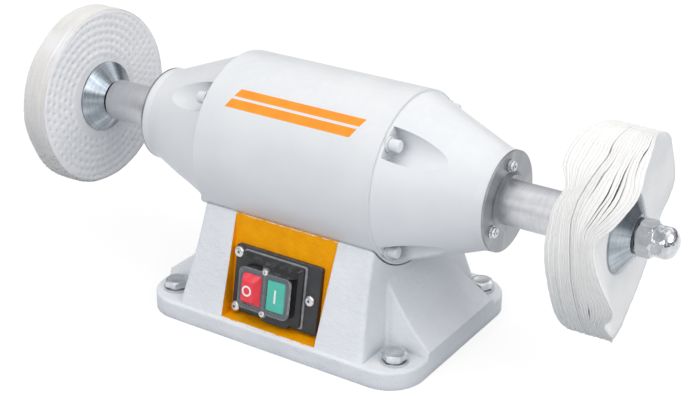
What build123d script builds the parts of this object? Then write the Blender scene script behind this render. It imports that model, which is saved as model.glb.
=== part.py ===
from build123d import *
import os
from math import atan, cos, radians, sin, sqrt, tan

# Bench polishing machine: an enclosed motor on a cast pedestal, with a long
# spindle that carries a stitched cotton wheel on the left and a loose cotton
# mop on the right. Millimetres, +Z up, +X along the spindle to the right,
# the switch faces -Y. The origin is the centre of the base's underside.

# Overall sizes
motor_lift = 65.8
base_overhang = 20.8
motor_radius = 67.7
motor_length = 160.0
bell_length = 76.0
tube_length = 59.0
wheel_radius = 75.0

# Clearances
press_clearance = 0.03
running_clearance = 0.05
seat_clearance = 0.15
slide_clearance = 0.3
screw_clearance = 0.05

# Base casting
base_corner_radius = 30.0
base_flange_height = 15.0
base_edge_round = 2.4
wall = 6.0
pad_length = 37.5
bolt_inset_x = 20.0
bolt_inset_y = 21.5
bolt_hole_radius = 6.25
front_setback = 2.5
front_tilt = 20.2
saddle_ledge = 1.8
shoulder_drop = 2.8
end_foot_reach = 6.5
end_shoulder_reach = 0.2
end_top_reach = -1.5
pedestal_edge_round = 4.0
buttress_foot_height = 19.4
buttress_foot_width = 110.0
buttress_draft = 14.5
buttress_hollow = 2.0
buttress_edge_round = 2.0
valley_round = 3.0
saddle_relief = 1.0
saddle_relief_length = 4.0
saddle_boss_radius = 10.0
saddle_boss_drop = 10.0
cavity_end_margin = 14.0
cavity_front_margin = 9.0

# Recess for the switch in the sloping front
recess_half_width_top = 47.5
recess_half_width_bottom = 44.0
recess_tilt = 10.8
recess_ledge_rise = 1.0
recess_wall = 5.0

# Bottom cover
cover_thickness = 1.5
cover_inset = 2.5
cover_overlap = 7.0
cover_corner_radius = 8.0

# Motor barrel and end bells
barrel_wall = 6.7
bell_step = 1.9
bell_small_radius = 38.3
bell_band = 7.0
bell_band_radius = 38.9
bell_wall = 5.0
bell_end_wall = 12.0
spigot_length = 5.0
spigot_wall = 4.0
pocket_inset = 6.6
pocket_radius = 13.0
pocket_wall = 3.0
pocket_floor = 2.0
tie_inset = 1.0
tie_boss_radius = 6.5
tie_boss_length = 18.0
tie_angles = (45, 135, 225, 315)
wire_hole_radius = 8.0
wire_hole_x = 25.0

# Extension tube and its stamped plate
tube_radius = 17.0
tube_wall = 3.0
plate_thickness = 1.8
plate_collar_wall = 3.5
plate_collar_slope = 3.0
plate_collar_rise = 2.4
plate_screw_angles = (90, 210, 330)

# Spindle and what it carries
shaft_rotor_radius = 11.0
shaft_bearing_radius = 8.5
shaft_thread_radius = 8.0
shaft_shoulder_radius = 10.0
shaft_hole_radius = 10.5
shaft_end_chamfer = 1.2
flange_gap = 3.0
inner_flange_length = 12.5
outer_flange_length = 10.5
flange_small_radius = 15.5
flange_big_radius = 30.0
flange_rim = 1.6
hub_width = 18.0
nut_washer_thickness = 1.0
nut_washer_radius = 13.0
nut_hex_height = 12.0
nut_across_flats = 24.0
nut_length = 28.3
nut_cap_depth = 8.5
nut_wall = 4.0
nut_cap_step = 0.5
nut_chamfer = 1.6
thread_into_nut = 19.0

# Stitched wheel
stitch_rows = 6
stitch_depth = 0.9
stitched_rim_round = 5.0
stitch_row_margin = 2.0
stitched_inner_swell = 1.0
stitched_outer_swell = 5.0

# Loose mop: packs of plies that fan apart and wave where they hang fullest.
# Angles go round the spindle from the rear, over the top, to the front.
mop_packs = 6
mop_sections = 18
mop_split_radius = 40.0
mop_split_gap = 0.8
mop_inner_lean = 13.0
mop_inner_peak = 110.0
mop_outer_lean = 17.0
mop_outer_peak = 163.0
mop_waves = 5
mop_wave = 9.5
mop_wave_peak = 198.0

# Bearings
bearing_outer_radius = 20.0
bearing_width = 12.0
bearing_ring = 3.4
groove_depth = 0.95
ball_count = 8
preload_washer_thickness = 1.2
preload_bore_radius = 17.0

# Motor inside
stator_half_length = 36.0
rotor_radius = 34.0
air_gap = 0.5
slot_count = 18
slot_width = 5.0
slot_inner_radius = 37.0
slot_outer_radius = 50.0
winding_reach = 20.0
winding_bulge = 4.0
winding_round = 4.0
end_ring_length = 8.0
end_ring_width = 10.0

# Fasteners: shank radius, head across flats or head radius, head height
base_bolt = (5.0, 17.0, 6.4)
base_bolt_neck = 4.4
base_bolt_neck_below = 1.0
base_bolt_tip_gap = 0.4
base_washer = (10.5, 2.0)
tie_screw = (3.0, 4.8, 8.0)
tie_screw_length = 24.0
tie_washer = (6.2, 1.6)
saddle_screw = (4.0, 13.0, 5.3)
saddle_screw_x = 55.0
saddle_screw_length = 14.0
plate_screw = (2.5, 4.7, 4.4)
plate_screw_length = 10.0
switch_plate_screw = (2.0, 3.9, 2.0)
small_screw = (1.5, 2.6, 1.4)
cover_screw = (2.0, 3.2, 1.7)
cover_screw_length = 8.0
hex_head_crown = 0.3
cap_head_edge = 1.6
pan_head_edge = 0.4

# Switch: places are along and up the recess floor, heights stand off it
switch_plate_size = (80.0, 55.0)
switch_plate_centre = (-1.5, 29.0)
switch_plate_thickness = 4.0
switch_plate_corner = 2.0
switch_plate_chamfer = 0.6
switch_plate_screws = ((-36.0, 21.5), (-36.0, -23.5), (32.2, 0.0))
switch_centre = (-5.5, 27.2)
gasket_margin = 1.0
gasket_thickness = 0.8
gasket_shift = (2.1, 2.0)
gasket_corner = 2.0
body_shift = (1.4, 1.8)
body_flange_margin = (2.9, 2.6)
body_flange_thickness = 2.2
body_side_margin = 1.6
body_upper_margin = 5.5
body_lower_margin = 4.0
body_rise = 1.5
body_corner = 2.0
body_shoulder_margin = (2.2, 1.8)
body_top_shift = -0.8
boss_height = 6.0
hood_height = 2.4
hood_depth = 0.8
hood_reach = 6.2
hood_end_slope = 3.4
hood_gap = 0.4
lip_ends = (2.8, 23.0)
lip_drop = 4.4
lip_thickness = 2.5
block_wall = (3.75, 4.5)
block_depth = 26.0
cutout_margin = 1.0
button_size = (17.0, 25.0)
button_gap = 5.3
button_corner = 1.2
button_depth = 9.0
button_travel = 3.0
well_relief = 0.5
stop_rise = 7.8
start_rise = 1.4
stop_chamfer = (3.05, 4.6)
stop_chamfer_drop = 6.2
start_chamfer = 0.5
frame_border = 4.35
frame_inner_border = 3.2
frame_corner = 5.0
frame_height = 1.8
frame_tab_radius = 3.6
frame_screw_depth = 5.0

# Gland for a mains lead in the rear wall
gland_place = (45.0, 46.0)
gland_thread_radius = 8.0
gland_across_flats = 20.0
gland_hex_height = 5.0
gland_cap_radius = 8.8
gland_cap_length = 11.0
gland_cap_taper = 0.86
gland_cap_round = 2.0
gland_thread_spare = 3.0
gland_bore_radius = 3.6
gland_nut_flats = 22.0
gland_nut_height = 4.0

# Run capacitor on the bottom cover
capacitor_radius = 16.0
capacitor_length = 62.0
capacitor_place = (-15.0, 32.0)
strap_width = 16.0
strap_thickness = 1.2
strap_foot = 12.0
capacitor_chamfer = 1.2
capacitor_tab = (9.0, 0.8, 6.3)

# Stations along the spindle, from the middle outwards
seam_x = motor_length / 2
bell_end_x = seam_x + bell_length
tube_end_x = bell_end_x + tube_length
flange_x = tube_end_x + flange_gap
wheel_x = flange_x + inner_flange_length
bearing_stop_x = bell_end_x - bell_end_wall / 2
bearing_x = bearing_stop_x - bearing_width
right_bearing_x = bearing_x - preload_washer_thickness
axis_height = motor_lift + motor_radius
base_length = 2 * (seam_x + end_foot_reach + pad_length)
base_depth = 2 * (motor_radius + base_overhang)
bolt_spacing_x = base_length - 2 * bolt_inset_x
bolt_spacing_y = base_depth - 2 * bolt_inset_y
barrel_bore_radius = motor_radius - barrel_wall
pocket_circle_radius = motor_radius - pocket_inset
tie_circle_radius = barrel_bore_radius - tie_inset
plate_collar_radius = tube_radius + plate_collar_wall
plate_screw_circle = plate_collar_radius + plate_collar_slope + plate_screw[1] + slide_clearance
ball_radius = (bearing_outer_radius - shaft_bearing_radius) / 2 - bearing_ring + groove_depth
bell_big_radius = motor_radius - bell_step
hub_end_x = wheel_x + hub_width
nut_washer_x = hub_end_x + outer_flange_length
nut_x = nut_washer_x + nut_washer_thickness
shaft_end_x = nut_x + thread_into_nut

# Sizes of the switch that follow from its buttons
button_pitch = button_size[0] + button_gap
frame_screw_pitch = button_size[1] + 2 * frame_border
body_top_width = button_pitch + button_size[0] + 2 * (frame_border + body_side_margin)
body_top_up = frame_screw_pitch / 2 + body_upper_margin
body_top_down = frame_screw_pitch / 2 + body_lower_margin
body_top_size = (body_top_width, body_top_up + body_top_down)
body_shoulder_size = tuple(size + 2 * margin for size, margin in zip(body_top_size, body_shoulder_margin))
body_size = tuple(size + 2 * margin for size, margin in zip(body_top_size, body_flange_margin))
gasket_size = (body_size[0] + 2 * gasket_margin, body_size[1] + 2 * gasket_margin)
block_size = (button_pitch + button_size[0] + 2 * block_wall[0], button_size[1] + 2 * block_wall[1])

# Heights and slopes of the pedestal
front_foot_y = base_depth / 2 - front_setback
front_slope = tan(radians(front_tilt))
axis_above_flange = axis_height - base_flange_height
ledge_radius = motor_radius + saddle_ledge
slope_a = 1 + front_slope**2
slope_b = axis_above_flange + front_slope * front_foot_y
slope_c = front_foot_y**2 + axis_above_flange**2 - ledge_radius**2
pedestal_top = base_flange_height + (slope_b - sqrt(slope_b**2 - slope_a * slope_c)) / slope_a
front_top_y = front_foot_y - front_slope * (pedestal_top - base_flange_height)
shoulder_height = axis_height - motor_radius - shoulder_drop
recess_ledge = base_flange_height + recess_ledge_rise
cover_seat_z = cover_inset + cover_thickness
saddle_boss_z = axis_height - motor_radius - saddle_boss_drop
recess_slope = tan(radians(recess_tilt))
recess_floor_y = front_top_y + recess_slope * (pedestal_top - recess_ledge)

spindle = Axis((0, 0, axis_height), (1, 0, 0))
spindle_plane = Plane(origin=(0, 0, axis_height), x_dir=(1, 0, 0), z_dir=(0, -1, 0))
cross_plane = Plane(origin=(0, 0, axis_height), x_dir=(0, 1, 0), z_dir=(1, 0, 0))
side_view = Plane.YZ
front_view = Plane.XZ
switch_plane = Plane(
    origin=(0, -recess_floor_y, recess_ledge),
    x_dir=(1, 0, 0),
    z_dir=(0, -cos(radians(recess_tilt)), sin(radians(recess_tilt))),
)
rear_plane = Plane(
    origin=(0, front_foot_y, base_flange_height),
    x_dir=(-1, 0, 0),
    z_dir=(0, cos(radians(front_tilt)), sin(radians(front_tilt))),
)


def group(shapes):
    return Compound([solid for shape in shapes for solid in shape.solids()])


def turned(points):
    """Solid of revolution about the spindle from (x, radius) points."""
    face = make_face(Polyline(*points, close=True))
    return revolve(spindle_plane * face, spindle)


def ring(x_start, x_end, inner, outer):
    return turned([(x_start, inner), (x_end, inner), (x_end, outer), (x_start, outer)])


def prism(plane, points, reach):
    """Closed outline on a plane, extruded both ways."""
    return extrude(plane * make_face(Polyline(*points, close=True)), reach, both=True)


def left_of(shape):
    return mirror(shape, Plane.YZ)


def around(angles, radius, x):
    """Places on a circle about the spindle, facing along +X."""
    here = Plane(origin=(x, 0, axis_height), x_dir=(0, 1, 0), z_dir=(1, 0, 0))
    return [here * Rot(0, 0, angle) * Pos(radius, 0, 0) for angle in angles]


def hexagon(across_flats, height):
    return extrude(RegularPolygon(across_flats / 2, 6, major_radius=False), height)


def hex_head(flats, height):
    """Hexagon on +Z from the origin, its top corners turned off."""
    standing = (Align.CENTER, Align.CENTER, Align.MIN)
    crown = Cone(flats / 2 + height, flats / 2 - hex_head_crown, height, align=standing)
    return hexagon(flats, height) & crown


def hex_screw(size, length):
    """Head on +Z from the origin, shank below it."""
    shank, flats, head = size
    return hex_head(flats, head) + Pos(0, 0, -length / 2) * Cylinder(shank, length)


def cap_screw(size, length):
    """Round head with a soft edge on +Z from the origin, shank below it."""
    shank, head, rise = size
    cap = extrude(Circle(head), rise)
    cap = fillet(cap.edges().group_by(Axis.Z)[-1], cap_head_edge)
    return cap + Pos(0, 0, -length / 2) * Cylinder(shank, length)


def pan_screw(size, length):
    """Domed head on +Z from the origin, shank below it."""
    shank, head, rise = size
    edge = rise * pan_head_edge
    dome = rise - edge
    sphere = (head**2 + dome**2) / (2 * dome)
    half_turn = atan(head / (sphere - dome)) / 2
    crown = (sphere * sin(half_turn), rise - sphere * (1 - cos(half_turn)))
    profile = make_face(
        Polyline((0, rise), (0, -length), (shank, -length), (shank, 0), (head, 0), (head, edge))
        + ThreePointArc((head, edge), crown, (0, rise))
    )
    return revolve(Plane.XZ * profile, Axis.Z)


def washer(size, bore):
    outer, thick = size
    return Pos(0, 0, thick / 2) * (Cylinder(outer, thick) - Cylinder(bore, thick))


# Base casting


def bolt_places():
    return GridLocations(bolt_spacing_x, bolt_spacing_y, 2, 2).locations


def front_line(z):
    return front_foot_y - front_slope * (z - base_flange_height)


def pedestal_section(half_x, half_y, z, inset):
    corner = max(pedestal_edge_round, inset / 2)
    lean = inset / cos(radians(front_tilt))
    return Pos(0, 0, z) * RectangleRounded(2 * (half_x - inset), 2 * (half_y - lean), corner)


def pedestal_form(inset):
    """Tapered pedestal, its walls moved in by the inset."""
    foot_x = seam_x + end_foot_reach
    shoulder_x = seam_x + end_shoulder_reach
    top_x = seam_x + end_top_reach
    sections = [
        pedestal_section(foot_x, front_foot_y, 0, inset),
        pedestal_section(foot_x, front_foot_y, base_flange_height, inset),
        pedestal_section(shoulder_x, front_line(shoulder_height), shoulder_height, inset),
        pedestal_section(top_x, front_line(pedestal_top), pedestal_top, inset),
    ]
    return loft(sections, ruled=True)


def buttress():
    """Sloping rib between the shoulder of the end wall and the flange's edge."""
    top_x = seam_x + end_shoulder_reach
    foot_x = base_length / 2
    middle_x = (top_x + foot_x) / 2 - buttress_hollow
    middle_z = (shoulder_height + buttress_foot_height) / 2 - buttress_hollow
    root_x = seam_x - wall
    slope = ThreePointArc(
        (foot_x, buttress_foot_height), (middle_x, middle_z), (top_x, shoulder_height)
    )
    outline = Polyline(
        (top_x, shoulder_height), (root_x, shoulder_height), (root_x, 0), (foot_x, 0),
        (foot_x, buttress_foot_height),
    )
    body = extrude(front_view * make_face(slope + outline), base_depth, both=True)
    half_foot = buttress_foot_width / 2
    half_top = half_foot - tan(radians(buttress_draft)) * shoulder_height
    flanks = [(half_foot, 0), (half_top, shoulder_height), (-half_top, shoulder_height), (-half_foot, 0)]
    body = body & prism(side_view, flanks, base_length)
    ridges = body.edges().filter_by(lambda edge: edge.geom_type != GeomType.LINE)
    return fillet(ridges.filter_by(lambda edge: abs(edge.tangent_at(0.5).Y) < 0.5), buttress_edge_round)


def recess_form(grow):
    """Wedge in front of the recess floor, its walls moved out by the margin."""
    lean = grow / cos(radians(recess_tilt))
    ledge = recess_ledge - grow
    rise = pedestal_top + wall
    reach = base_depth
    side = [
        (-(recess_floor_y + recess_slope * (recess_ledge - ledge) - lean), ledge),
        (-(front_top_y - recess_slope * (rise - pedestal_top) - lean), rise),
        (-reach, rise),
        (-reach, ledge),
    ]
    flare = (recess_half_width_top - recess_half_width_bottom) / (pedestal_top - recess_ledge)
    low = recess_half_width_bottom + grow - flare * (recess_ledge - ledge)
    high = recess_half_width_top + grow + flare * (rise - pedestal_top)
    face = [(low, ledge), (high, rise), (-high, rise), (-low, ledge)]
    return prism(side_view, side, base_length) & prism(front_view, face, reach)


def valley_edges(casting):
    """Inner corners where the ribs stand out of the end walls."""
    foot_x = seam_x + end_foot_reach
    return casting.edges().filter_by(
        lambda edge: abs(edge.tangent_at(0.5).Z) > 0.5
        and base_flange_height + valley_round < edge.center().Z < shoulder_height
        and abs(edge.center().Y) < buttress_foot_width / 2
        and abs(edge.center().X) < foot_x
    )


def cover_outline(margin):
    """Opening under the base, grown by the margin."""
    length = 2 * (seam_x + end_foot_reach - cavity_end_margin + margin)
    depth = 2 * (front_foot_y - cavity_front_margin + margin)
    return RectangleRounded(length, depth, cover_corner_radius)


def cover_screw_places():
    half_x = seam_x + end_foot_reach - cavity_end_margin + cover_overlap / 2
    half_y = front_foot_y - cavity_front_margin - cover_corner_radius
    return GridLocations(2 * half_x, 2 * half_y, 2, 2).locations


def saddle_screw_places():
    return [Pos(x, 0, 0) for x in (-saddle_screw_x, saddle_screw_x)]


def motor_cylinder(radius, length):
    return Pos(0, 0, axis_height) * Rot(0, 90, 0) * Cylinder(radius, length)


def make_base_housing():
    flange = extrude(RectangleRounded(base_length, base_depth, base_corner_radius), base_flange_height)
    flange = fillet(flange.edges().group_by(Axis.Z)[-1], base_edge_round)
    rib = buttress()
    casting = flange + pedestal_form(0) + rib + left_of(rib)
    casting = fillet(valley_edges(casting), valley_round)
    casting -= recess_form(0)

    cavity = pedestal_form(wall) - recess_form(recess_wall)
    cavity -= motor_cylinder(motor_radius + wall, 2 * base_length)
    cavity -= Pos(0, 0, cover_seat_z / 2) * Box(base_length, base_depth, cover_seat_z)
    boss_height = 2 * (motor_radius + wall)
    for place in saddle_screw_places():
        boss = Pos(0, 0, saddle_boss_z + boss_height / 2) * Cylinder(saddle_boss_radius, boss_height)
        cavity -= place * boss
    throat = extrude(cover_outline(0), base_flange_height)
    above_flange = extrude(Rectangle(base_length, base_depth), axis_height)
    casting -= cavity & (throat + Pos(0, 0, base_flange_height) * above_flange)
    casting -= throat & pedestal_form(wall)
    casting -= extrude(cover_outline(cover_overlap), cover_seat_z)
    casting -= motor_cylinder(motor_radius + seat_clearance, 2 * base_length)
    relief_x = seam_x - saddle_relief_length
    relief = ring(relief_x, base_length, 0, motor_radius + saddle_relief)
    casting -= [relief, left_of(relief)]

    for place in bolt_places():
        casting -= place * Cylinder(bolt_hole_radius, 3 * base_flange_height)
    for place in cover_screw_places():
        depth = cover_screw_length + screw_clearance
        casting -= place * Pos(0, 0, cover_seat_z + depth / 2) * Cylinder(
            cover_screw[0] + screw_clearance, depth)
    for place in saddle_screw_places():
        casting -= place * Cylinder(saddle_screw[0] + slide_clearance, 2 * axis_height)
    casting -= Pos(wire_hole_x, 0, 0) * Cylinder(wire_hole_radius, 2 * axis_height)
    casting -= on_switch(0) * block_hole(cutout_margin, 4 * recess_wall)
    for place in switch_plate_screw_places():
        casting -= place * Cylinder(switch_plate_screw[0] + screw_clearance, 4 * recess_wall)
    casting -= rear_plane * Pos(*gland_place, 0) * Cylinder(gland_thread_radius + screw_clearance, 6 * wall)
    return casting


def make_bottom_cover():
    cover = extrude(cover_outline(cover_overlap - slide_clearance), cover_thickness)
    cover = Pos(0, 0, cover_inset) * cover
    for place in cover_screw_places():
        cover -= place * Cylinder(cover_screw[0] + slide_clearance, 4 * base_flange_height)
    for place in strap_screw_places():
        cover -= place * Cylinder(small_screw[0] + screw_clearance, 4 * base_flange_height)
    return cover


def make_cover_screws():
    screw = Rot(180, 0, 0) * pan_screw(cover_screw, cover_screw_length)
    return group(place * Pos(0, 0, cover_inset) * screw for place in cover_screw_places())


def make_base_bolts():
    shank, flats, head = base_bolt
    thick = base_washer[1]
    neck = thick + base_bolt_neck_below
    length = base_flange_height - base_bolt_neck_below - base_bolt_tip_gap
    bolt = hex_head(flats, head) + Pos(0, 0, -neck / 2) * Cylinder(base_bolt_neck, neck)
    bolt += Pos(0, 0, -neck - length / 2) * Cylinder(shank, length)
    return group(place * Pos(0, 0, base_flange_height + thick) * bolt for place in bolt_places())


def make_base_washers():
    ring_solid = washer(base_washer, base_bolt_neck + slide_clearance)
    return group(place * Pos(0, 0, base_flange_height) * ring_solid for place in bolt_places())


def make_saddle_screws():
    screw = Rot(180, 0, 0) * hex_screw(saddle_screw, saddle_screw_length)
    return group(place * Pos(0, 0, saddle_boss_z) * screw for place in saddle_screw_places())


# Motor barrel and end bells


def make_motor_barrel():
    barrel = ring(-seam_x, seam_x, barrel_bore_radius, motor_radius)
    boss_start = seam_x - spigot_length - seat_clearance - tie_boss_length
    boss = extrude(Circle(tie_boss_radius), tie_boss_length)
    bosses = [place * boss for place in around(tie_angles, tie_circle_radius, boss_start)]
    bosses += [left_of(item) for item in bosses]
    barrel += [item & motor_cylinder(motor_radius - seat_clearance, motor_length) for item in bosses]
    hole = extrude(Circle(tie_screw[0] + screw_clearance), tie_boss_length + spigot_length)
    for place in around(tie_angles, tie_circle_radius, boss_start + seat_clearance):
        barrel -= place * hole
        barrel -= left_of(place * hole)
    for place in saddle_screw_places():
        thread = Cylinder(saddle_screw[0] + screw_clearance, axis_height)
        barrel -= place * Pos(0, 0, axis_height / 2) * thread
    barrel -= Pos(wire_hole_x, 0, axis_height / 2) * Cylinder(wire_hole_radius, axis_height)
    return barrel


def bell_radius(x):
    """Outer radius of the bell's taper at a station."""
    share = (x - seam_x) / (bell_length - bell_band)
    return bell_big_radius + (bell_band_radius - bell_big_radius) * share


def make_right_bell():
    band_x = bell_end_x - bell_band
    inner_end_x = bell_end_x - bell_end_wall
    form = turned([
        (seam_x, 0), (seam_x, bell_big_radius), (band_x, bell_band_radius),
        (bell_end_x, bell_small_radius), (bell_end_x, 0),
    ])
    hollow = turned([
        (seam_x, 0), (seam_x, barrel_bore_radius - spigot_wall),
        (inner_end_x, bell_radius(inner_end_x) - bell_wall), (inner_end_x, 0),
    ])
    pocket_start = seam_x + pocket_floor
    boss = extrude(Circle(pocket_radius + pocket_wall), bell_length)
    scoop = extrude(Circle(pocket_radius), bell_length)
    for place in around(tie_angles, pocket_circle_radius, seam_x):
        hollow -= place * boss
    hollow -= ring(bearing_x - wall, inner_end_x, 0, bearing_outer_radius + wall)
    bell = form - hollow
    for place in around(tie_angles, pocket_circle_radius, pocket_start):
        bell -= place * scoop
    spigot_radius = barrel_bore_radius - press_clearance
    spigot_x = seam_x - spigot_length
    lug = extrude(Circle(tie_boss_radius), spigot_length)
    lugs = [place * lug for place in around(tie_angles, tie_circle_radius, spigot_x)]
    spigot = ring(spigot_x, seam_x, barrel_bore_radius - spigot_wall, spigot_radius) + lugs
    bell += spigot & ring(spigot_x, seam_x, 0, spigot_radius)
    hole = extrude(Circle(tie_screw[0] + slide_clearance), pocket_floor + 2 * spigot_length)
    for place in around(tie_angles, tie_circle_radius, seam_x - 2 * spigot_length):
        bell -= place * hole
    bell -= ring(seam_x, bearing_stop_x, 0, bearing_outer_radius + press_clearance)
    bell -= ring(seam_x, bell_end_x, 0, shaft_hole_radius)
    screw_hole = extrude(Circle(plate_screw[0] + screw_clearance), -plate_screw_length)
    for place in around(plate_screw_angles, plate_screw_circle, bell_end_x):
        bell -= place * screw_hole
    return bell


def make_tie_screws():
    seat_x = seam_x + pocket_floor + tie_washer[1]
    screw = cap_screw(tie_screw, tie_screw_length)
    screws = [place * screw for place in around(tie_angles, tie_circle_radius, seat_x)]
    return group(screws + [left_of(item) for item in screws])


def make_tie_washers():
    flat = washer(tie_washer, tie_screw[0] + slide_clearance)
    flats = [place * flat for place in around(tie_angles, tie_circle_radius, seam_x + pocket_floor)]
    return group(flats + [left_of(item) for item in flats])


# Extension tubes


def make_right_tube():
    return ring(bell_end_x, tube_end_x, tube_radius - tube_wall, tube_radius)


def make_right_tube_plate():
    bore = tube_radius + press_clearance
    face_x = bell_end_x + plate_thickness
    slope_radius = plate_collar_radius + plate_collar_slope
    plate = turned([
        (bell_end_x, bell_small_radius), (bell_end_x, slope_radius),
        (bell_end_x + plate_collar_rise, plate_collar_radius), (bell_end_x + plate_collar_rise, bore),
        (face_x + plate_collar_rise, bore), (face_x + plate_collar_rise, plate_collar_radius),
        (face_x, slope_radius), (face_x, bell_small_radius),
    ])
    hole = extrude(Circle(plate_screw[0] + slide_clearance), plate_thickness)
    for place in around(plate_screw_angles, plate_screw_circle, bell_end_x):
        plate -= place * hole
    return plate


def make_plate_screws():
    length = plate_thickness + plate_screw_length - slide_clearance
    screw = pan_screw(plate_screw, length)
    places = around(plate_screw_angles, plate_screw_circle, bell_end_x + plate_thickness)
    screws = [place * screw for place in places]
    return group(screws + [left_of(item) for item in screws])


# Spindle and what turns with it


def make_shaft():
    rotor_half = stator_half_length + end_ring_length
    left = [
        (-shaft_end_x, 0), (-shaft_end_x, shaft_thread_radius - shaft_end_chamfer),
        (-shaft_end_x + shaft_end_chamfer, shaft_thread_radius), (-flange_x, shaft_thread_radius),
        (-flange_x, shaft_bearing_radius), (-bearing_x, shaft_bearing_radius),
        (-bearing_x, shaft_shoulder_radius), (-rotor_half, shaft_shoulder_radius),
        (-rotor_half, shaft_rotor_radius),
    ]
    right = [(-x, radius) for x, radius in reversed(left)]
    right = [(right_bearing_x if x == bearing_x else x, radius) for x, radius in right]
    return turned(left + right)


def make_flange(x, reach):
    """Conical clamp: its wide face lies at x, its small end points away from the wheel."""
    tip_x = x + reach
    rim_x = x + reach / abs(reach) * flange_rim
    bore = shaft_thread_radius + press_clearance
    return turned([
        (x, bore), (x, flange_big_radius), (rim_x, flange_big_radius), (tip_x, flange_small_radius),
        (tip_x, bore),
    ])


def stitched_face(swell):
    """How far one face stands out of the clamped width, and at what radius, from the bore to the rim."""
    first = flange_big_radius + stitch_row_margin
    pitch = (wheel_radius - stitched_rim_round - first) / stitch_rows
    points = [(0, shaft_thread_radius + press_clearance), (0, flange_big_radius + slide_clearance)]
    for row in range(stitch_rows):
        start = first + row * pitch
        points += [(swell, start), (swell - stitch_depth, start + pitch / 2)]
    points.append((swell, wheel_radius - stitched_rim_round))
    return points


def make_stitched_wheel(x):
    """Cotton disc clamped at the hub, with rings where the rows of stitching draw it in."""
    near = [(x - out, radius) for out, radius in stitched_face(stitched_inner_swell)]
    far = [(x + hub_width + out, radius) for out, radius in reversed(stitched_face(stitched_outer_swell))]
    lean = stitched_rim_round * (1 - sqrt(0.5))
    near_x = near[-1][0]
    far_x = far[0][0]
    rim = ThreePointArc(
        near[-1], (near_x + lean, wheel_radius - lean), (near_x + stitched_rim_round, wheel_radius))
    rim += Line((near_x + stitched_rim_round, wheel_radius), (far_x - stitched_rim_round, wheel_radius))
    rim += ThreePointArc(
        (far_x - stitched_rim_round, wheel_radius), (far_x - lean, wheel_radius - lean), far[0])
    face = make_face(Polyline(*near) + rim + Polyline(*far) + Line(far[-1], near[0]))
    return revolve(spindle_plane * face, spindle)


def lobe(angle, peak):
    """One at the peak angle, falling to nothing on the far side."""
    return (1 + cos(radians(angle - peak))) / 2


def mop_section(x, angle):
    """Cut through the mop at an angle: packs clamped at the hub, fanned apart at the rim."""
    flat = cos(radians(90 / mop_sections))
    bore = (shaft_thread_radius + press_clearance) / flat
    clamp = (flange_big_radius + slide_clearance) / flat
    inner = x - mop_inner_lean * lobe(angle, mop_inner_peak)**2
    wave = mop_wave * cos(radians(mop_waves * (angle - mop_wave_peak)))
    outer = x + hub_width + (mop_outer_lean + wave) * lobe(angle, mop_outer_peak)
    share = hub_width / mop_packs
    thick = share - mop_split_gap
    pitch = (outer - inner - thick) / (mop_packs - 1)
    depth = (mop_split_radius - clamp) / (wheel_radius - clamp)
    points = [(x, bore), (x, clamp)]
    for pack in range(mop_packs):
        near = inner + pitch * pack
        points += [(near, wheel_radius), (near + thick, wheel_radius)]
        if pack < mop_packs - 1:
            root = x + share * (pack + 1)
            mouth = near + (pitch + thick) / 2
            points.append((root + (mouth - root) * depth, mop_split_radius))
    points += [(x + hub_width, clamp), (x + hub_width, bore)]
    outline = [Vector(px, radius * cos(radians(angle)), axis_height + radius * sin(radians(angle)))
               for px, radius in points]
    return make_face(Polyline(*outline, close=True))


def make_loose_mop(x):
    step = 180 / mop_sections
    halves = []
    for start in (0, 180):
        sections = [mop_section(x, start + index * step) for index in range(mop_sections + 1)]
        halves.append(loft(sections, ruled=True))
    return halves[0] + halves[1]


def make_dome_nut(x):
    """Hexagon with a domed cap, standing on x and pointing along +X."""
    cap_radius = nut_across_flats / 2 - nut_cap_step
    cap_x = x + nut_length - nut_cap_depth
    dome = revolve(spindle_plane * make_face(
        Polyline((x, 0), (x, cap_radius), (cap_x, cap_radius))
        + EllipticalCenterArc((cap_x, 0), nut_cap_depth, cap_radius, arc_size=90)
        + Line((x + nut_length, 0), (x, 0))), spindle)
    corner = nut_across_flats / sqrt(3)
    crown = turned([
        (x, 0), (x, nut_across_flats / 2), (x + nut_chamfer, corner),
        (x + nut_hex_height - nut_chamfer, corner), (x + nut_hex_height, nut_across_flats / 2),
        (x + nut_hex_height, 0),
    ])
    place = Plane(origin=(x, 0, axis_height), x_dir=(0, 1, 0), z_dir=(1, 0, 0))
    body = (place * hexagon(nut_across_flats, nut_hex_height) & crown) + dome
    bore_end = x + nut_length - nut_wall
    return body - ring(x, bore_end, 0, shaft_thread_radius + press_clearance)


def make_bearing(x, part):
    """Ball bearing from x inwards to x plus its width: its outer ring, inner ring or balls."""
    middle = x + bearing_width / 2
    pitch = (bearing_outer_radius + shaft_bearing_radius) / 2
    groove = revolve(spindle_plane * Pos(middle, pitch) * Circle(ball_radius + running_clearance), spindle)
    if part == "outer_ring":
        return ring(x, x + bearing_width, bearing_outer_radius - bearing_ring, bearing_outer_radius) - groove
    if part == "inner_ring":
        bore = shaft_bearing_radius + press_clearance
        return ring(x, x + bearing_width, bore, shaft_bearing_radius + bearing_ring) - groove
    angles = [360 * index / ball_count for index in range(ball_count)]
    return group(place * Sphere(ball_radius) for place in around(angles, pitch, middle))


# Motor inside


def slot_bars(width, inner, outer, half_length):
    bar = extrude(cross_plane * Pos((inner + outer) / 2, 0) * Rectangle(outer - inner, width),
                  half_length, both=True)
    return [bar.rotate(spindle, 360 * index / slot_count) for index in range(slot_count)]


def make_stator_core():
    core = ring(-stator_half_length, stator_half_length, rotor_radius + air_gap,
                barrel_bore_radius - press_clearance)
    return core - slot_bars(slot_width, slot_inner_radius, slot_outer_radius, stator_half_length)


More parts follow.
